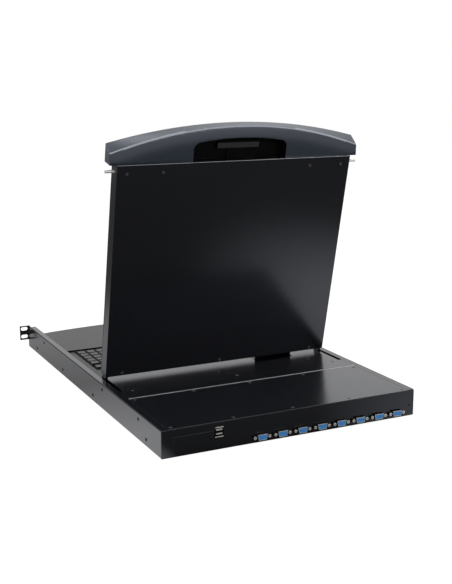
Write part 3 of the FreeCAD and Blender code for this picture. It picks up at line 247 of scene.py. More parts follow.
class Surface:
    """A material whose nodes are made by expressions."""

    def __init__(self, name, base, roughness, metallic=0.0):
        self.material = bpy.data.materials.new(name)
        self.material.use_nodes = True
        self.tree = self.material.node_tree
        self.shader = self.tree.nodes["Principled BSDF"]
        self.shader.inputs["Base Color"].default_value = (*base, 1)
        self.shader.inputs["Roughness"].default_value = roughness
        self.shader.inputs["Metallic"].default_value = metallic
        self.material.diffuse_color = (*base, 1)

    def node(self, kind, settings=None, output=0, numbered=None, **named):
        return add_node(self.tree, kind, settings, output, numbered, **named)

    def place(self):
        """Where a point lies on the object."""
        return self.node("TexCoord", output="Object")

    def noise(self, scale, detail=2.0, stretch=None):
        """Noise with so many spots to a metre, fewer along an axis that is stretched."""
        spot = self.place()
        if stretch:
            spot = self.node("Mapping", Vector=spot, Scale=stretch)
        return self.node("TexNoise", Vector=spot, Scale=scale, Detail=detail, Roughness=0.5)

    def ramp(self, value, low, high):
        """Value stretched so that low becomes 0 and high becomes 1, and held there."""
        return self.node("MapRange", {"clamp": True}, Value=value, From_Min=low, From_Max=high)

    def blend(self, amount, first, second):
        """A mix of two colours, the first one where the amount is 0."""
        return self.node("Mix", {"data_type": "RGBA"}, MIX_RESULT,
                         {MIX_AMOUNT: amount, MIX_FIRST: (*first, 1), MIX_SECOND: (*second, 1)})

    def set(self, socket, value):
        """Link or set one of the shader's own sockets."""
        feed(self.tree, self.shader.inputs[socket], value)

    def bump(self, height, strength, distance):
        """Feed a height to the normal, and give the finished material."""
        self.set("Normal", self.node("Bump", Height=height, Strength=strength,
                                     Distance=distance))
        return self.material


def tint(base, factor):
    """A colour made lighter or darker."""
    return tuple(min(1.0, part * factor) for part in base)


# ------------------------------------------------------------------ finishes
def powder_coat():
    """Satin black powder coat: fine orange peel, slight haze and a few dust specks."""
    look = finish_of()
    made = Surface("black_powder_coat", look.coat, look.coat_roughness)
    made.set("IOR", 1.6)
    made.set("Specular Tint", (0.86, 0.89, 1.0, 1.0))
    haze = made.noise(scale=14, detail=4)
    peel = made.noise(scale=1100)
    specks = made.ramp(made.noise(scale=420, detail=1), 0.74, 0.8)
    made.set("Base Color", made.blend(specks * 0.25, look.coat, tint(look.coat, 7)))
    made.set("Roughness", look.coat_roughness - 0.035 + haze * 0.07 + specks * 0.1)
    return made.bump(peel, strength=look.coat_grain, distance=0.00004)


def zinc_plate():
    """Bright zinc on rolled steel, brushed along Y."""
    look = finish_of()
    made = Surface("zinc_steel", look.zinc, 0.34, metallic=1.0)
    brushed = made.noise(scale=300, detail=3, stretch=(1, 0.05, 1))
    cloud = made.noise(scale=25, detail=4)
    made.set("Base Color", made.blend(cloud, tint(look.zinc, 0.82), look.zinc))
    made.set("Roughness", 0.26 + brushed * 0.2)
    return made.bump(brushed, strength=0.08, distance=0.00005)


def nickel_plate():
    """Pale satin nickel, a little cloudy."""
    look = finish_of()
    made = Surface("bright_steel", look.nickel, 0.34, metallic=0.4)
    cloud = made.noise(scale=180, detail=3)
    made.set("Base Color", made.blend(cloud, tint(look.nickel, 0.82), look.nickel))
    made.set("Roughness", 0.28 + cloud * 0.14)
    return made.bump(made.noise(scale=900), strength=0.05, distance=0.00003)


def black_oxide():
    """Dull blackened steel of the screws, rubbed a little brighter here and there. The jackscrews' flats and holes
    wear it as painted shade.
    """
    made = Surface("black_screw", (0.008, 0.008, 0.009), 0.45)
    made.set("Specular IOR Level", 0.25)
    rub = made.ramp(made.noise(scale=600), 0.58, 0.78)
    made.set("Base Color", made.blend(rub, (0.006, 0.006, 0.0065), (0.03, 0.03, 0.032)))
    made.set("Roughness", 0.45 - rub * 0.1)
    return made.bump(made.noise(scale=1500, detail=1), strength=0.1, distance=0.00003)


def slate_moulding():
    """Slate blue moulding of the handle, with a fine spark-eroded grain."""
    look = finish_of()
    made = Surface("slate_plastic", look.slate, look.slate_roughness)
    made.set("Specular Tint", (0.9, 0.93, 1.0, 1.0))
    made.set("IOR", 1.62)
    grain = made.node("TexNoise", Vector=made.place(), Scale=1500, Detail=3, Roughness=0.6)
    tone = made.noise(scale=9, detail=3)
    made.set("Base Color", made.blend(tone, tint(look.slate, 0.93), tint(look.slate, 1.07)))
    made.set("Roughness", look.slate_roughness - 0.04 + grain * 0.08)
    return made.bump(grain, strength=0.16, distance=0.00006)


def grained(name, base, roughness, scale, depth, gloss):
    """A moulding or coat with a leathery grain."""
    made = Surface(name, base, roughness)
    made.set("Specular IOR Level", gloss)
    cells = made.node("TexVoronoi", {"feature": "SMOOTH_F1"}, Vector=made.place(), Scale=scale)
    fine = made.noise(scale * 1.7)
    grain = cells * 0.6 + fine * 0.4
    made.set("Base Color", made.blend(fine, tint(base, 0.85), tint(base, 1.2)))
    made.set("Roughness", roughness - 0.05 + grain * 0.1)
    return made.bump(grain, strength=depth, distance=0.00008)


def black_moulding():
    """Black moulding of the palm rest, screen frame and release lever."""
    return grained("black_plastic", finish_of().moulding, roughness=0.42, scale=900, depth=0.25,
                   gloss=0.42)


def key_moulding():
    """Finer grained black of the key caps."""
    return grained("key_plastic", finish_of().keys, roughness=0.38, scale=1600, depth=0.12,
                   gloss=0.5)


def deck_coat():
    """Duller black of the plate round the keys."""
    return grained("deck_coat", (0.006, 0.0064, 0.0075), roughness=0.4, scale=1300, depth=0.1,
                   gloss=0.34)


def port_blue():
    """Blue moulding of the video port inserts."""
    look = finish_of()
    made = Surface("blue_plastic", look.insert, 0.42)
    fine = made.noise(scale=700)
    made.set("Base Color", made.blend(fine, tint(look.insert, 0.85), tint(look.insert, 1.1)))
    return made.bump(fine, strength=0.08, distance=0.00004)


def board_green():
    """Green board with lighter rectangles of copper under its lacquer."""
    look = finish_of()
    made = Surface("board_green", look.board, 0.32)
    tracks = made.node("TexBrick", {"offset": 0.35}, output="Fac", Vector=made.place(),
                       Scale=120.0, Mortar_Size=0.03)
    made.set("Base Color", made.blend(tracks, look.board, tint(look.board, 2.2)))
    return made.bump(tracks, strength=0.3, distance=0.00006)


def dark_glass():
    """Anti-glare front of a display that is switched off."""
    look = finish_of()
    made = Surface("screen_glass", look.screen, 0.2)
    sparkle = made.noise(scale=2600, detail=1)
    made.set("Roughness", 0.17 + sparkle * 0.08)
    return made.bump(sparkle, strength=0.05, distance=0.00002)


def plain_finish(name, base, roughness, metallic, gloss):
    """A small part's finish: one tone with fine variation."""
    made = Surface(name, base, roughness, metallic)
    made.set("Specular IOR Level", gloss)
    fine = made.noise(scale=800)
    made.set("Base Color", made.blend(fine, tint(base, 0.85), tint(base, 1.1)))
    made.set("Roughness", roughness - 0.04 + fine * 0.08)
    return made.bump(fine, strength=0.08, distance=0.00004)


FINISH_MAKERS = {
    "black_powder_coat": powder_coat,
    "zinc_steel": zinc_plate,
    "bright_steel": nickel_plate,
    "black_screw": black_oxide,
    "slate_plastic": slate_moulding,
    "black_plastic": black_moulding,
    "key_plastic": key_moulding,
    "deck_coat": deck_coat,
    "blue_plastic": port_blue,
    "board_green": board_green,
    "screen_glass": dark_glass,
}

# Colour, roughness, metallic and gloss of the plain finishes.
PLAIN_FINISHES = {
    "contact_gold": ((0.75, 0.52, 0.2), 0.25, 1.0, 0.5),
    "pale_plastic": ((0.55, 0.54, 0.5), 0.45, 0.0, 0.5),
    # Grey that reads lighter than black oxide: a painted highlight on the cover and lid screws.
    "screw_painted_highlight": ((0.06, 0.06, 0.064), 0.34, 0.0, 0.5),
    # A painted highlight line along the hinge cover's rear edge and the lid's top edge.
    "painted_highlight_edge": ((0.42, 0.43, 0.46), 0.3, 0.5, 0.5),
    # A dimmer painted highlight line along the rear cover's rear edge.
    "painted_dim_highlight_edge": ((0.06, 0.06, 0.065), 0.4, 0.0, 0.5),
    # Paler slate painted on the handle's rounded ridge as a highlight.
    "slate_ridge_painted_highlight": ((0.42, 0.45, 0.52), 0.3, 0.0, 0.5),
    # Near-black of the display module, and near-black painted as shade on wall screws, wall fold lines, port and
    # socket walls, the handle's recess and the lever's neck.
    "dull_black_and_painted_shade": ((0.003, 0.003, 0.003), 0.7, 0.0, 0.06),
}

finishes = {}


def finish(name):
    """The named material, made the first time it is asked for."""
    if name not in finishes:
        if name in PLAIN_FINISHES:
            finishes[name] = plain_finish(name, *PLAIN_FINISHES[name])
        else:
            finishes[name] = FINISH_MAKERS[name]()
    return finishes[name]


# ------------------------------------------------------------------ modelling helpers
def deselect_all():
    if bpy.context.object and bpy.context.object.mode != "OBJECT":
        bpy.ops.object.mode_set(mode="OBJECT")
    bpy.ops.object.select_all(action="DESELECT")


def pick(obj):
    """Make an object the only one that is selected."""
    deselect_all()
    obj.select_set(True)
    bpy.context.view_layer.objects.active = obj
    return obj


def apply_place(obj):
    pick(obj)
    bpy.ops.object.transform_apply(location=True, rotation=True, scale=True)
    return obj


def apply_modifier(obj, kind, **settings):
    pick(obj)
    made = obj.modifiers.new(kind.lower(), kind)
    for key, value in settings.items():
        setattr(made, key, value)
    bpy.ops.object.modifier_apply(modifier=made.name)
    return obj


def soften(obj, width, segments=2, angle=35):
    """Round every edge sharper than the angle."""
    return apply_modifier(obj, "BEVEL", width=width, segments=segments, limit_method="ANGLE",
                          angle_limit=math.radians(angle), use_clamp_overlap=True,
                          harden_normals=False)


def smooth(obj, angle=32):
    """Round shading across soft edges, with broad faces kept flat."""
    pick(obj)
    bpy.ops.object.shade_smooth_by_angle(angle=math.radians(angle))
    return apply_modifier(obj, "WEIGHTED_NORMAL", weight=100, keep_sharp=True)


def block(name, low, high):
    """A box between two corners, as a start for shaping."""
    deselect_all()
    low, high = Vector(low), Vector(high)
    bpy.ops.mesh.primitive_cube_add(size=1, location=(low + high) / 2)
    made = bpy.context.object
    made.name = name
    made.scale = high - low
    return apply_place(made)


def rod(name, centre, axis, radius, depth, sides):
    """A prism or rod whose middle is at the centre, along an axis."""
    deselect_all()
    turn = Vector(ALONG_Z).rotation_difference(Vector(axis)).to_euler()
    bpy.ops.mesh.primitive_cylinder_add(vertices=sides, radius=radius, depth=depth,
                                        location=centre, rotation=turn)
    made = bpy.context.object
    made.name = name
    return apply_place(made)


def join(pieces, name):
    """Make one object of some pieces."""
    pick(pieces[0])
    for piece in pieces[1:]:
        piece.select_set(True)
    if len(pieces) > 1:
        bpy.ops.object.join()
    made = bpy.context.object
    made.name = name
    return made


def copies(piece, places):
    """Copies of a piece, each with its own mesh, moved by each matrix."""
    made = []
    for place in places:
        twin = piece.copy()
        twin.data = piece.data.copy()
        twin.data.transform(place)
        bpy.context.collection.objects.link(twin)
        made.append(twin)
    bpy.data.objects.remove(piece)
    return made


def cut(obj, tools):
    """Take the tools out of the object."""
    for tool in tools:
        apply_modifier(obj, "BOOLEAN", operation="DIFFERENCE", object=tool, solver="EXACT")
        bpy.data.objects.remove(tool)
    return obj


def select_faces(obj, test):
    """Enter edit mode with the faces that pass the test selected."""
    pick(obj)
    bpy.ops.object.mode_set(mode="EDIT")
    bpy.ops.mesh.select_mode(type="FACE")
    bpy.ops.mesh.select_all(action="DESELECT")
    mesh = bmesh.from_edit_mesh(obj.data)
    for face in mesh.faces:
        face.select = test(face.calc_center_median(), face.normal)
    bmesh.update_edit_mesh(obj.data)


def select_edges(obj, test):
    """Enter edit mode with the edges selected whose two ends pass the test."""
    pick(obj)
    bpy.ops.object.mode_set(mode="EDIT")
    bpy.ops.mesh.select_mode(type="EDGE")
    bpy.ops.mesh.select_all(action="DESELECT")
    mesh = bmesh.from_edit_mesh(obj.data)
    for edge in mesh.edges:
        edge.select = all(test(vert.co) for vert in edge.verts)
    bmesh.update_edit_mesh(obj.data)


def select_whole(obj):
    """Enter edit mode with all of the object selected."""
    pick(obj)
    bpy.ops.object.mode_set(mode="EDIT")
    bpy.ops.mesh.select_all(action="SELECT")


def leave_edit():
    bpy.ops.object.mode_set(mode="OBJECT")


def merge_doubles(obj, distance):
    select_whole(obj)
    bpy.ops.mesh.remove_doubles(threshold=distance)
    leave_edit()


def split_across(obj, place, normal):
    """Split an object's faces along a plane."""
    select_whole(obj)
    bpy.ops.mesh.bisect(plane_co=place, plane_no=normal)
    leave_edit()


def paint(obj, *names):
    obj.data.materials.clear()
    for name in names:
        obj.data.materials.append(finish(name))
    return obj


def settle(obj, node, look=None, angle=32):
    """Finish a piece: shade it, paint it, and hand it to the body of the node it replaces."""
    smooth(obj, angle)
    if not obj.data.materials:
        paint(obj, look or SLOT_OF[node])
    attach(obj, BODY_OF[node])
    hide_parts(node)
    return obj


def settle_trim(obj, look, host, angle=50):
    """Finish a piece that replaces no node, on the body of its host node."""
    paint(smooth(obj, angle), look)
    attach(obj, BODY_OF[host])
    return obj


def from_node(node, name, width, segments=2):
    """A copy of a CAD node with its flat faces joined up and its edges rounded."""
    source = frame["nodes"][node]
    made = source.copy()
    made.data = source.data.copy()
    made.name = name
    made.parent = None
    made.matrix_world = Matrix.Identity(4)
    for key in list(made.keys()):
        del made[key]
    bpy.context.collection.objects.link(made)
    select_whole(made)
    bpy.ops.mesh.remove_doubles(threshold=SAME_POINT)
    bpy.ops.mesh.dissolve_limited(angle_limit=math.radians(0.5))
    leave_edit()
    made.data.materials.clear()
    return soften(made, width, segments) if width else made


def dress(node, name, width, segments=2, look=None):
    """Replace a CAD node by its own copy with rounded edges."""
    return settle(from_node(node, name, width, segments), node, look)


def repaint(node, look=None):
    """Give a CAD node that stays its finish."""
    paint(frame["nodes"][node], look or SLOT_OF[node])


def solids_of(node):
    """Points of each separate solid in a node, sorted by the solids' lowest corners."""
    mesh = bmesh.new()
    mesh.from_mesh(frame["nodes"][node].data)
    bmesh.ops.remove_doubles(mesh, verts=mesh.verts, dist=SAME_POINT)
    mesh.verts.index_update()
    left = set(mesh.verts)
    found = []
    while left:
        group, front = [], [left.pop()]
        while front:
            vert = front.pop()
            group.append(vert)
            for edge in vert.link_edges:
                other = edge.other_vert(vert)
                if other in left:
                    left.remove(other)
                    front.append(other)
        found.append([vert.co.copy() for vert in sorted(group, key=lambda vert: vert.index)])
    mesh.free()
    return sorted(found, key=lambda points: [round(part, 5) for part in box_of(points)[0]])


# ------------------------------------------------------------------ case
# Sizes of the near-black rods of painted shade along the tops of the side walls.
SHADE_LINE_RADIUS, SHADE_LINE_SINK, SHADE_LINE_MARGIN = 0.0006, 0.0002, 0.002


def make_wall_shade_lines():
    """Dark lines of painted shade where the top flanges fold over the side walls."""
    low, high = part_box("case_pan")
    middle = (low.y + high.y) / 2
    reach = high.y - low.y - 2 * SHADE_LINE_MARGIN
    shade_lines = [rod("shade_line", (side * (high.x - SHADE_LINE_SINK), middle, high.z - SHADE_LINE_RADIUS), ALONG_Y,
                 SHADE_LINE_RADIUS, reach, ROD_SIDES) for side in SIDES.values()]
    settle_trim(join(shade_lines, "wall_shade_lines"), "dull_black_and_painted_shade", "case_pan")


def make_case():
    """Folded case with its rear panel, rear cover, blanking plate and rack ears."""
    edge = sizes_of().sheet_edge
    make_wall_shade_lines()
    dress("case_pan", "folded_case", edge)
    dress("rear_panel", "rear_plate", edge)
    dress("rear_cover", "rear_top_cover", edge)
    dress("blank_plate", "blanking_plate", edge)
    for side in SIDES:
        dress("rack_ear_" + side, "ear_bracket_" + side, edge)
    for node in ("cross_member", "switch_board", "board_posts", "power_supply"):
        repaint(node)


# ------------------------------------------------------------------ screws
SCREW_RISE, FLAT_RISE, LID_RISE = 0.00035, 0.0009, 0.0005
# Angle from one screw of a group to the next, and the dome's share of a head's rise.
SCREW_SPIN, DOME_SHARE = 0.7, 0.8
HEAD_FLAT, HEAD_SINK, RECESS_SINK, RECESS_REACH = 0.00005, 0.0008, 0.0002, 0.55
# Each step of the dome: the inset as a share of the radius, the lift as a share of the rise.
DOME_STEPS = ((0.35, 0.35), (0.2, 0.1))
END_SCREW_IN, END_SCREW_UP, END_SCREW_SINK = 0.0085, 0.018, 0.0001
END_SCREW_RADIUS, END_SCREW_RISE = 0.0019, 0.0005


def screw_head(points, axis):
    """Where a screw's head sits, from its points: centre of the head's top, and its radius."""
    top = max(point.dot(axis) for point in points)
    rim = [point for point in points if top - point.dot(axis) < HEAD_FLAT]
    middle = sum(rim, Vector()) / len(rim)
    return middle, max((point - middle).length for point in rim)


def cross_screw(name, radius, rise):
    """A low domed screw head with a cross recess, standing on the origin along Z."""
    head = rod(name, (0, 0, (rise - HEAD_SINK) / 2), ALONG_Z, radius, rise + HEAD_SINK,
               HEAD_SIDES)
    select_faces(head, lambda centre, normal: normal.z > FACING)
    for inset, lift in DOME_STEPS:
        bpy.ops.mesh.inset(thickness=radius * inset)
        bpy.ops.transform.translate(value=(0, 0, rise * lift))
    leave_edit()
    half = sizes_of().screw_cross / 2
    reach = radius * RECESS_REACH
    tools = [block("cross_arm", (-a, -b, -RECESS_SINK), (a, b, rise * 2))
             for a, b in ((reach, half), (half, reach))]
    return cut(head, tools)


def stand_on(point, axis):
    """A matrix that carries the origin to a point and Z to an axis."""
    turn = Vector(ALONG_Z).rotation_difference(axis).to_matrix().to_4x4()
    return Matrix.Translation(point) @ turn


def make_screw_group(node, name, axis_of, rise=SCREW_RISE, look=None):
    """Replace a node of plain screws by screws with cross recesses, each turned differently."""
    places = []
    for number, points in enumerate(solids_of(node)):
        axis = axis_of(sum(points, Vector()) / len(points))
        top, radius = screw_head(points, axis)
        spin = Matrix.Rotation(SCREW_SPIN * number, 4, "Z")
        places.append(stand_on(top - axis * rise, axis) @ spin)
    heads = copies(cross_screw(name, radius, rise * DOME_SHARE), places)
    settle(join(heads, name), node, look, angle=40)


def make_end_screws():
    """Small screws that hold the rear panel's ends."""
    low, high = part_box("rear_panel")
    across, up = high.x - END_SCREW_IN, low.z + END_SCREW_UP
    places = [stand_on(Vector((side * across, high.y - END_SCREW_SINK, up)), Vector(ALONG_Y))
              for side in SIDES.values()]
    heads = copies(cross_screw("end_screws", END_SCREW_RADIUS, END_SCREW_RISE), places)
    settle_trim(join(heads, "end_screws"), "black_screw", "rear_panel", angle=40)


def make_screws():
    """Every group of screws that shows: walls, covers, rear panel and lid."""
    up, back = Vector(ALONG_Z), Vector(ALONG_Y)
    lid_back = (LID_PLACE.to_3x3() @ up).normalized()
    # The wall screws are painted near-black as shade, as though they sat in dark holes.
    make_screw_group("side_screws", "wall_screws",
                     lambda middle: Vector((math.copysign(1, middle.x), 0, 0)),
                     look="dull_black_and_painted_shade")
    # The cover and lid screws are painted a paler grey as a highlight.
    make_screw_group("cover_screws", "rear_cover_screws", lambda middle: up, look="screw_painted_highlight")
    make_screw_group("hinge_cover_screws", "front_cover_screws", lambda middle: up,
                     look="screw_painted_highlight")
    make_screw_group("rear_screws", "plate_screws", lambda middle: back, FLAT_RISE)
    make_screw_group("lid_screws", "display_screws", lambda middle: lid_back, LID_RISE,
                     "screw_painted_highlight")


# ------------------------------------------------------------------ rear ports
PIN_PITCH, PIN_ROW, PIN_HOLE = 0.00229, 0.00198, 0.0006
# How much a row is offset from the next one, in pitches.
PIN_STAGGER = 0.25
PIN_DEPTH, PIN_SIDES, INSERT_EDGE = 0.004, 8, 0.00015
JACK_HOLE, JACK_DEPTH, JACK_EDGE, JACK_CHAMFER = 0.0013, 0.003, 0.0003, 0.0001
JACK_END, JACK_LEAST_FACE = 0.0006, 0.00000005
FLAT_OF_HEXAGON = 0.866
# Depth of the nickel rim at each port shell's mouth; the walls behind it are painted shade.
BRIGHT_RIM = 0.0012
SOCKET_TALL, SOCKET_LIP = 0.016, 0.0015
# Faces of the socket shell that look backwards less than this are painted dark as shade.
SOCKET_MOUTH = 0.3
TONGUE_DROP, TONGUE_BACK, TONGUE_EDGE = 0.0018, 0.0004, 0.0002
CONTACTS, CONTACT_HALF = 4, 0.0005
CONTACT_BACK, CONTACT_FRONT = 0.002, 0.001
CONTACT_SHOWS, CONTACT_SINK = 0.00008, 0.0001
PLUNGER_EDGE = 0.0003


def make_port_shells():
    """Metal shells whose walls are painted near-black as shade, with a bright rim round each mouth."""
    made = paint(from_node("vga_shells", "port_shells", sizes_of().shell_edge),
                 "dull_black_and_painted_shade", "bright_steel")
    rim = max(vert.co.y for vert in made.data.vertices) - BRIGHT_RIM
    split_across(made, (0, rim, 0), ALONG_Y)
    for face in made.data.polygons:
        face.material_index = int(face.center.y > rim)
    settle(made, "vga_shells")


def make_inserts():
    """Blue inserts, each with three rows of five contact holes."""
    made = from_node("vga_inserts", "port_inserts", INSERT_EDGE)
    holes = []
    for points in solids_of("vga_inserts"):
        low, high = box_of(points)
        middle = (low + high) / 2
        for row in (-1, 0, 1):
            for column in range(5):
                x = middle.x + (column - 2 + row * PIN_STAGGER) * PIN_PITCH
                holes.append(rod("hole", (x, high.y, middle.z + row * PIN_ROW), ALONG_Y,
                                 PIN_HOLE, PIN_DEPTH, PIN_SIDES))
    settle(cut(made, [join(holes, "holes")]), "vga_inserts")


def make_jackscrews():
    """Hexagonal jackscrews with a screw hole in each, bright at the end, with flats and hole painted black as
    shade.
    """
    screws = []
    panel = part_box("rear_panel")[1].y
    for points in solids_of("vga_jackscrews"):
        low, high = box_of(points)
        middle, radius = (low + high) / 2, (high.x - low.x) / 2
        screw = rod("jackscrew", (middle.x, (panel + high.y) / 2, middle.z), ALONG_Y, radius,
                    high.y - panel, 6)
        soften(screw, JACK_EDGE)
        select_faces(screw, lambda centre, normal: normal.y > FACING)
        bpy.ops.mesh.inset(thickness=JACK_CHAMFER)
        bpy.ops.mesh.inset(thickness=radius * FLAT_OF_HEXAGON - JACK_HOLE)
        bpy.ops.mesh.extrude_region_move(
            TRANSFORM_OT_translate={"value": (0, -JACK_DEPTH, 0)})
        leave_edit()
        screws.append(screw)
    # The flats and the hole are painted in black screw steel as shade; only the end face keeps the bright nickel.
    made = paint(join(screws, "port_jackscrews"), "black_screw", "bright_steel")
    ends = max(vert.co.y for vert in made.data.vertices)
    for face in made.data.polygons:
        face.material_index = int(ends - face.center.y < JACK_END
                                  and face.area > JACK_LEAST_FACE)
    settle(made, "vga_jackscrews", angle=25)


def make_socket_shell():
    """Double socket: walls painted dark as shade between a bright upper and a bright lower lip."""
    made = from_node("usb_shell", "socket_shell", sizes_of().shell_edge)
    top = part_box("usb_shell")[1].z
    levels = (top - SOCKET_TALL + SOCKET_LIP, top - SOCKET_LIP)
    for level in levels:
        split_across(made, (0, 0, level), ALONG_Z)
    paint(made, "bright_steel", "dull_black_and_painted_shade")
    for face in made.data.polygons:
        face.material_index = int(levels[0] < face.center.z < levels[1]
                                  or face.normal.y < SOCKET_MOUTH)
    settle(made, "usb_shell")


def make_tongues():
    """Pale tongues of the double socket, each with four gold contacts."""
    shell_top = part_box("usb_shell")[1]
    middle = shell_top.z - SOCKET_TALL / 2
    made = from_node("usb_tongues", "socket_tongues", 0)
    select_faces(made, lambda centre, normal: normal.y > FACING)
    reach = shell_top.y - TONGUE_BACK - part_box("usb_tongues")[1].y
    bpy.ops.mesh.extrude_region_move(TRANSFORM_OT_translate={"value": (0, reach, 0)})
    leave_edit()
    for vert in made.data.vertices:
        if vert.co.z > middle:
            vert.co.z -= TONGUE_DROP
    paint(soften(made, TONGUE_EDGE), "pale_plastic")
    strips = []
    for points in solids_of("usb_tongues"):
        low, high = box_of(points)
        if low.z > middle:
            low.z -= TONGUE_DROP
        for number in range(CONTACTS):
            x = low.x + (high.x - low.x) * (number + 0.5) / CONTACTS
            strips.append(block("contact",
                                (x - CONTACT_HALF, low.y + CONTACT_BACK, low.z - CONTACT_SHOWS),
                                (x + CONTACT_HALF, high.y - CONTACT_FRONT, low.z + CONTACT_SINK)))
    contacts = paint(join(strips, "contacts"), "contact_gold")
    settle(join([made, contacts], "socket_tongues"), "usb_tongues")


def make_ports():
    """All that sits in the rear panel, from the video ports to the screws at its ends."""
    make_port_shells()
    make_inserts()
    make_jackscrews()
    make_socket_shell()
    make_tongues()
    dress("reset_button", "reset_plunger", PLUNGER_EDGE)
    make_end_screws()


# ------------------------------------------------------------------ slides and tray
# Painted highlight lines along edges: the line's middle back and up from the edge, its radius,
# and how much shorter than the edge it is.
HINGE_COVER_HIGHLIGHT = (0.0003, -0.0001, 0.0005, 0.001)
REAR_COVER_HIGHLIGHT = (-0.0002, -0.0002, 0.00026, 0.001)
LID_EDGE_HIGHLIGHT = (0.0002, -0.0002, 0.00042, 0.002)


def make_slides():
    """Outer, middle and inner member of both telescopic slides."""
    for side in SIDES:
        for member in ("outer", "mid", "inner"):
            dress("slide_%s_%s" % (member, side), "slide_%s_member_%s" % (member, side),
                  sizes_of().plate_edge)


def highlight_line(name, node, edge, width, lip, look, place=None):
    """A thin rod along an edge of a piece, in the given look: a painted highlight line."""
    # The lip gives the place and size of the painted highlight line.
    back, up, radius, shorter = lip
    made = rod(name, (0, edge[0] + back, edge[1] + up), ALONG_X, radius, width - shorter,
               ROD_SIDES)
    if place:
        made.data.transform(place)
    settle_trim(made, look, node)


def make_cover_highlights():
    """Painted highlight lines along the rear edges of the two top covers."""
    low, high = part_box("hinge_cover")
    highlight_line("hinge_cover_highlight", "hinge_cover", (high.y, high.z), high.x - low.x,
                HINGE_COVER_HIGHLIGHT, "painted_highlight_edge")
    low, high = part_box("rear_cover")
    highlight_line("rear_cover_highlight", "rear_cover", (high.y, high.z), high.x - low.x,
                REAR_COVER_HIGHLIGHT, "painted_dim_highlight_edge")


def make_tray():
    """Tray pan with its keyboard plate, hinge cover, palm rest and touch pad."""
    edge = sizes_of()
    make_cover_highlights()
    dress("tray_pan", "folded_tray", edge.sheet_edge)
    dress("keyboard_deck", "keyboard_plate", edge.sheet_edge, look="deck_coat")
    dress("hinge_cover", "front_top_cover", edge.sheet_edge)
    dress("palm_rest", "palm_moulding", edge.moulding_edge)
    dress("touch_pad", "touch_surface", edge.touch_edge)
    for side in SIDES:
        dress("touch_button_" + side, "touch_key_" + side, edge.touch_key_edge)
        repaint("hinge_bracket_" + side)
    repaint("cover_rail")


# ------------------------------------------------------------------ keyboard
KEY_ROWS = 6
# Each step of the hollow: its inset, and its share of the depth.
DISH_STEPS = ((0.0014, 0.6), (0.0022, 0.4))


def make_keyboard():
    """Key caps with rounded edges and a shallow hollow in each top."""
    edge = sizes_of()
    repaint("keyboard_base")
    for row in range(1, KEY_ROWS + 1):
        node = "key_row_%d" % row
        caps = from_node(node, "keys_%d" % row, edge.key_edge, edge.key_segments)
        top = max(vert.co.z for vert in caps.data.vertices)
        select_faces(caps, lambda centre, normal: normal.z > FACING
                     and top - centre.z < SAME_LEVEL)
        for inset, part in DISH_STEPS:
            bpy.ops.mesh.inset(thickness=inset, use_individual=True)
            bpy.ops.transform.translate(value=(0, 0, -edge.key_dish * part))
        leave_edit()
        settle(caps, node, "key_plastic", angle=50)


# ------------------------------------------------------------------ lid
TAB_REACH = 0.006
# Points this near are joined where the flap meets the tab.
TAB_GAP = 0.00002
MENU_BUTTONS = 4


def make_lid_shell():
    """Folded back of the lid. Its cable tab runs on down into the notch of the hinge cover."""
    shell = from_node("lid_back", "lid_shell", 0)
    low, high = lid_box("lid_back")
    points = [LID_LOCAL @ vert.co for vert in shell.data.vertices]
    tab_low, tab_high = box_of([point for point in points if high.y - point.y < SAME_LEVEL])
    flap = block("flap", (tab_low.x, high.y, tab_low.z),
                 (tab_high.x, high.y + TAB_REACH, high.z))
    flap.data.transform(LID_PLACE)
    shell = join([shell, flap], "lid_shell")
    merge_doubles(shell, TAB_GAP)
    settle(soften(shell, sizes_of().fold_edge, 3), "lid_back")
    # A painted highlight line along the lid's top edge, under the handle.
    highlight_line("lid_top_edge_highlight", "lid_back", (low.y, high.z), high.x - low.x, LID_EDGE_HIGHLIGHT,
                "painted_highlight_edge", LID_PLACE)


def make_lid():
    """Lid shell with its screen surround, hinge plates and shafts, and menu keys."""
    edge = sizes_of()
    make_lid_shell()
    dress("screen_frame", "screen_surround", edge.moulding_edge)
    repaint("screen_glass")
    repaint("display_module", "dull_black_and_painted_shade")
    repaint("latch_guides")
    for side in SIDES:
        dress("hinge_arm_" + side, "hinge_plate_" + side, edge.plate_edge)
    dress("hinge_pins", "hinge_shafts", edge.plate_edge)
    for number in range(1, MENU_BUTTONS + 1):
        dress("menu_button_%d" % number, "menu_key_%d" % number, edge.menu_edge)


# ------------------------------------------------------------------ handle
# The solid's corner cuts, which are squared off here.
CUT_WIDTH, CUT_DEPTH, CUT_SLACK, CUT_GAP = 0.007, 0.0075, 0.0005, 0.00001
RIDGE_SLACK, RIDGE_SEGMENTS = 0.0008, 4
# How far a face of the rounded ridge looks backwards, as the Z of its normal.
RIDGE_LEAST, RIDGE_MOST = 0.6, 0.985
BACK_ROWS, BACK_COLUMNS, BACK_FACING = 12, 14, 0.999
ROLL_DEPTH = 0.02
# The hand recess, painted black as shade: its half width in half widths of the lever, and its
# distance from the handle's tip, back and front.
RECESS_WIDE, RECESS_IN, RECESS_UNDER, RECESS_OVER = 2.3, 0.0165, 0.0035, 0.004
# Material slots: slate, the recess painted black as shade, and the ridge's painted highlight.
SLATE, RECESS_SHADE, RIDGE_HIGHLIGHT = 0, 1, 2
LEVER_BAR = 0.0095


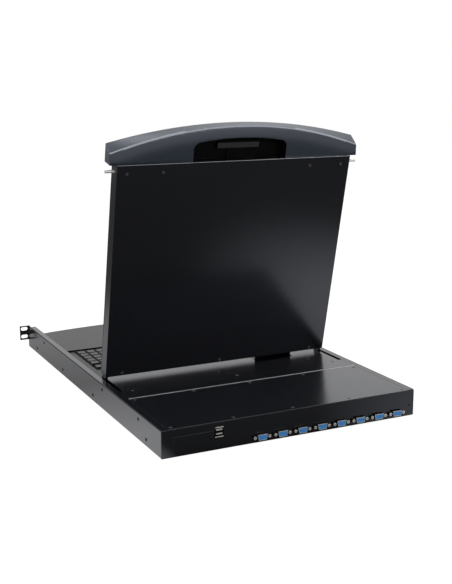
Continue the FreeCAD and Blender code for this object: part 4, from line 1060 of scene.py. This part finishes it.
def square_ends(shell, low, high):
    """Carry the handle's two arcs on to its full width, and give the back arc's radius."""
    wide = high.x - CUT_WIDTH
    for level in (low.z, high.z):
        ring = [vert for vert in shell.data.vertices if abs(vert.co.z - level) < SAME_LEVEL]
        end = min(vert.co.y for vert in ring if abs(abs(vert.co.x) - wide) < CUT_SLACK)
        bow = end - low.y
        radius = (wide ** 2 + bow ** 2) / (2 * bow)
        for vert in ring:
            if abs(vert.co.x) > wide - CUT_SLACK and vert.co.y < end + CUT_DEPTH:
                vert.co.x = math.copysign(high.x, vert.co.x)
                vert.co.y = end + CUT_WIDTH * wide / radius
    merge_doubles(shell, CUT_GAP)
    return radius


def round_ridge(shell, back, inside):
    """Round the edge between the handle's back and its bowed top, with a painted highlight in a paler slate."""
    ridge = sizes_of().handle_ridge
    select_edges(shell, lambda point: back - point.z < SAME_LEVEL
                 and abs(inside(point)) < RIDGE_SLACK)
    bpy.ops.mesh.bevel(offset=ridge, segments=RIDGE_SEGMENTS, profile=0.5)
    leave_edit()
    paint(shell, "slate_plastic", "dull_black_and_painted_shade", "slate_ridge_painted_highlight")
    for face in shell.data.polygons:
        if back - face.center.z < ridge and RIDGE_LEAST < face.normal.z < RIDGE_MOST \
                and abs(inside(face.center)) < ridge:
            face.material_index = RIDGE_HIGHLIGHT


def roll_back(shell, low, high, inside):
    """Cut the handle's flat back into a grid, and roll it over towards the ridge."""
    edge = sizes_of()
    rows = [((0, low.y + (high.y - low.y) * i / BACK_ROWS, 0), ALONG_Y)
            for i in range(1, BACK_ROWS)]
    columns = [((high.x * i / BACK_COLUMNS, 0, 0), ALONG_X)
               for i in range(1 - BACK_COLUMNS, BACK_COLUMNS)]
    for place, along in rows + columns:
        select_faces(shell, lambda centre, normal: normal.z > BACK_FACING
                     and high.z - centre.z < SAME_LEVEL)
        bpy.ops.mesh.bisect(plane_co=place, plane_no=along)
        leave_edit()
    start = high.z - ROLL_DEPTH
    for vert in shell.data.vertices:
        if vert.co.z > start:
            fall = max(0.0, 1 - max(inside(vert.co), 0) / edge.handle_roll) ** 3
            vert.co.z -= edge.handle_drop * fall * (vert.co.z - start) / ROLL_DEPTH


def make_handle():
    """Bowed handle: its back rolls over towards a rounded ridge with a painted highlight, and its recess is
    painted black as shade.
    """
    low, high = lid_box("grip_handle")
    shell = from_node("grip_handle", "handle_moulding", 0)
    shell.data.transform(LID_LOCAL)
    radius = square_ends(shell, low, high)
    heart = Vector((0, low.y + radius, 0))

    def inside(point):
        """How far a point lies inside the bowed top."""
        return radius - (Vector((point.x, point.y, 0)) - heart).length

    round_ridge(shell, high.z, inside)
    soften(shell, sizes_of().handle_edge, angle=40)
    roll_back(shell, low, high, inside)
    lever = frame["nodes"]["release_lever"].data.vertices
    half = max(abs(vert.co.x) for vert in lever) * RECESS_WIDE
    for face in shell.data.polygons:
        spot = face.center
        if abs(spot.x) < half and spot.y > low.y + RECESS_IN \
                and low.z + RECESS_OVER < spot.z < high.z - RECESS_UNDER:
            face.material_index = RECESS_SHADE
    shell.data.transform(LID_PLACE)
    settle(shell, "grip_handle", angle=28)


def make_latch():
    """Release lever with a grained bar on a neck painted near-black as shade, and the two latch bolts."""
    edge = sizes_of()
    lever = paint(from_node("release_lever", "latch_lever", edge.lever_edge, 3),
                  "black_plastic", "dull_black_and_painted_shade")
    bar_end = lid_box("release_lever")[0].y + LEVER_BAR
    # The neck behind the bar is painted near-black as shade.
    for face in lever.data.polygons:
        face.material_index = int((LID_LOCAL @ face.center).y > bar_end)
    settle(lever, "release_lever")
    for side in SIDES:
        dress("latch_pin_" + side, "latch_bolt_" + side, edge.bolt_edge, 3)


# ------------------------------------------------------------------ stage
CAMERA_PLACE = Vector((0.76786, 2.00431, 0.52957))
CAMERA_BACK = Vector((0.4340, 0.8751, 0.2139))
CAMERA_REACH = 30
WORLD_LIGHT = 0.4
FLOOR_RADIUS, FLOOR_GREY, FLOOR_WHITE = 6, (0.1, 0.1, 0.1), 0.94
BLACK, WHITE = (0, 0, 0), (1, 1, 1)
# Name, place, target, width, height and watts of each lamp.
LAMPS = (
    ("key", (1.9, 0.2, 1.6), (0.1, 0.35, 0), 1.4, 1.0, 22),
    ("top", (-0.8, 0.1, 2.4), (0, 0.45, 0.2), 1.6, 1.6, 25),
    ("rear", (-1.0, 2.54, 0.9), (0, 0.49, 0.43), 1.6, 0.3, 14),
)
# Where mirrored rays find the floor glowing: painted light, seen only in reflections. A middle is X
# and Y, and each other pair is a ramp from its dark end to its bright one.
STRIP_SIDE, STRIP_FRONT, STRIP_REAR = (0.195, 0.225), (-0.6, 0), (0.8, 0.72)
STRIP_MIDDLE, STRIP_REACH = (0.2, 0.3), (0.9, 0.5)
CORNER_MIDDLE, CORNER_REACH = (-0.4, 0.6), (0.36, 0.1)
REAR_END = (1.55, 2.1)


def area_light(name, place, target, width, height, power):
    """A rectangular lamp that looks at its target."""
    data = bpy.data.lights.new(name, "AREA")
    data.shape = "RECTANGLE"
    data.size, data.size_y = width, height
    data.energy = power
    made = bpy.data.objects.new(name, data)
    made.location = place
    aim = Vector(target) - Vector(place)
    made.rotation_euler = aim.to_track_quat("-Z", "Y").to_euler()
    bpy.context.collection.objects.link(made)


def background_rays(tree):
    """Wires that are 1 for rays that show the background: seen or through glass, and mirrored."""
    seen, through, mirrored = [
        add_node(tree, "LightPath", output=name)
        for name in ("Is Camera Ray", "Is Transmission Ray", "Is Glossy Ray")]
    return seen + through, mirrored


def white_world():
    """White behind the object. Mirrored, it is darker on the rear side of the room."""
    world = bpy.data.worlds.new("studio")
    bpy.context.scene.world = world
    world.use_nodes = True
    tree = world.node_tree
    background = tree.nodes["Background"]
    background.inputs["Color"].default_value = (*WHITE, 1)
    seen, mirrored = background_rays(tree)
    y, z = parts_of(tree, add_node(tree, "TexCoord", output="Generated"))[1:]
    front_side = (0.45 - y) * 1.6
    above = (z * 1.2 + 0.1).at_least(0.02)
    mirrored = mirrored * front_side.at_least(above).at_most(1.0)
    strength = (seen + mirrored).at_least(WORLD_LIGHT).at_most(1.0)
    feed(tree, background.inputs["Strength"], strength)


def distance_to(middle, x, y):
    """How far a point of the floor is from a middle."""
    across, along = x - middle[0], y - middle[1]
    return (across * across + along * along) ** 0.5


def floor_finish():
    """Pale floor that keeps the object's shadow. Mirrored, it glows with painted light in three places only.

    They are the ground beside the left wall, a spot off the right rear corner, and the rear.
    """
    made = Surface("pale_floor", FLOOR_GREY, 0.9)
    seen, mirrored = background_rays(made.tree)
    x, y = parts_of(made.tree, made.place())[:2]
    along = 0.5 - y * 0.4 + (y - 0.3).at_least(0) * 2.6
    strip = made.ramp(x, *STRIP_SIDE) * made.ramp(y, *STRIP_REAR) * made.ramp(y, *STRIP_FRONT)
    strip = strip * along * made.ramp(distance_to(STRIP_MIDDLE, x, y), *STRIP_REACH)
    corner = made.ramp(distance_to(CORNER_MIDDLE, x, y), *CORNER_REACH)
    painted_light = strip.at_least(corner).at_least(made.ramp(y, *REAR_END))
    made.set("Emission Color", made.blend(seen * FLOOR_WHITE + mirrored * painted_light, BLACK, WHITE))
    made.set("Emission Strength", 1)
    return made.material


def make_stage():
    """Camera, white room, floor and lamps."""
    scene = bpy.context.scene
    scene.view_settings.view_transform = "Standard"
    data = bpy.data.cameras.new("camera")
    data.lens = sizes_of().lens
    data.clip_end = CAMERA_REACH
    camera = bpy.data.objects.new("camera", data)
    camera.location = CAMERA_PLACE
    camera.rotation_euler = CAMERA_BACK.to_track_quat("Z", "Y").to_euler()
    bpy.context.collection.objects.link(camera)
    scene.camera = camera
    white_world()
    deselect_all()
    bpy.ops.mesh.primitive_circle_add(vertices=64, radius=FLOOR_RADIUS, fill_type="NGON",
                                      location=(0, 0, cad_low.z))
    floor = bpy.context.object
    floor.name = "studio_floor"
    apply_place(floor)
    floor.data.materials.append(floor_finish())
    for lamp in LAMPS:
        area_light(*lamp)


# ------------------------------------------------------------------ add-on
class CONSOLE_OT_case(bpy.types.Operator):
    """Case, covers, rear panel and rack ears"""
    bl_idname = "console.case"
    bl_label = "Case"
    bl_options = {"REGISTER", "UNDO"}

    def execute(self, context):
        make_case()
        return {"FINISHED"}


class CONSOLE_OT_ports(bpy.types.Operator):
    """Video ports, sockets and reset button"""
    bl_idname = "console.ports"
    bl_label = "Rear ports"
    bl_options = {"REGISTER", "UNDO"}

    def execute(self, context):
        make_ports()
        return {"FINISHED"}


class CONSOLE_OT_slides(bpy.types.Operator):
    """Telescopic slide members"""
    bl_idname = "console.slides"
    bl_label = "Slides"
    bl_options = {"REGISTER", "UNDO"}

    def execute(self, context):
        make_slides()
        return {"FINISHED"}


class CONSOLE_OT_tray(bpy.types.Operator):
    """Tray, palm rest, touch pad and hinge cover"""
    bl_idname = "console.tray"
    bl_label = "Tray"
    bl_options = {"REGISTER", "UNDO"}

    def execute(self, context):
        make_tray()
        return {"FINISHED"}


class CONSOLE_OT_keyboard(bpy.types.Operator):
    """Key rows and their base"""
    bl_idname = "console.keyboard"
    bl_label = "Keyboard"
    bl_options = {"REGISTER", "UNDO"}

    def execute(self, context):
        make_keyboard()
        return {"FINISHED"}


class CONSOLE_OT_lid(bpy.types.Operator):
    """Lid shell, screen, hinge arms and menu buttons"""
    bl_idname = "console.lid"
    bl_label = "Lid"
    bl_options = {"REGISTER", "UNDO"}

    def execute(self, context):
        make_lid()
        return {"FINISHED"}


class CONSOLE_OT_handle(bpy.types.Operator):
    """Full-width handle"""
    bl_idname = "console.handle"
    bl_label = "Handle"
    bl_options = {"REGISTER", "UNDO"}

    def execute(self, context):
        make_handle()
        return {"FINISHED"}


class CONSOLE_OT_latch(bpy.types.Operator):
    """Release lever and latch pins"""
    bl_idname = "console.latch"
    bl_label = "Latch"
    bl_options = {"REGISTER", "UNDO"}

    def execute(self, context):
        make_latch()
        return {"FINISHED"}


class CONSOLE_OT_screws(bpy.types.Operator):
    """Cross-recess screws"""
    bl_idname = "console.screws"
    bl_label = "Screws"
    bl_options = {"REGISTER", "UNDO"}

    def execute(self, context):
        make_screws()
        return {"FINISHED"}


class CONSOLE_OT_stage(bpy.types.Operator):
    """Camera, floor and lights"""
    bl_idname = "console.stage"
    bl_label = "Stage"
    bl_options = {"REGISTER", "UNDO"}

    def execute(self, context):
        make_stage()
        return {"FINISHED"}


OPERATORS = (CONSOLE_OT_case, CONSOLE_OT_ports, CONSOLE_OT_slides, CONSOLE_OT_tray,
             CONSOLE_OT_keyboard, CONSOLE_OT_lid, CONSOLE_OT_handle, CONSOLE_OT_latch,
             CONSOLE_OT_screws, CONSOLE_OT_stage)


class CONSOLE_PT_panel(bpy.types.Panel):
    """Lists the drawer's groups of pieces, and its settings"""
    bl_label = "Console Drawer"
    bl_idname = "CONSOLE_PT_panel"
    bl_space_type = "VIEW_3D"
    bl_region_type = "UI"
    bl_category = "Console Drawer"

    def draw(self, context):
        for made in OPERATORS:
            self.layout.operator(made.bl_idname)
        for group in (context.scene.console_finish, context.scene.console_sizes):
            box = self.layout.box()
            for name in group.__annotations__:
                box.prop(group, name)


CLASSES = (ConsoleFinish, ConsoleSizes, *OPERATORS, CONSOLE_PT_panel)


def register():
    for made in CLASSES:
        bpy.utils.register_class(made)
    bpy.types.Scene.console_finish = PointerProperty(type=ConsoleFinish)
    bpy.types.Scene.console_sizes = PointerProperty(type=ConsoleSizes)


def unregister():
    del bpy.types.Scene.console_sizes
    del bpy.types.Scene.console_finish
    for made in reversed(CLASSES):
        bpy.utils.unregister_class(made)


def main():
    register()
    bpy.ops.console.case()
    bpy.ops.console.ports()
    bpy.ops.console.slides()
    bpy.ops.console.tray()
    bpy.ops.console.keyboard()
    bpy.ops.console.lid()
    bpy.ops.console.handle()
    bpy.ops.console.latch()
    bpy.ops.console.screws()
    bpy.ops.console.stage()


if __name__ == "__main__":
    main()
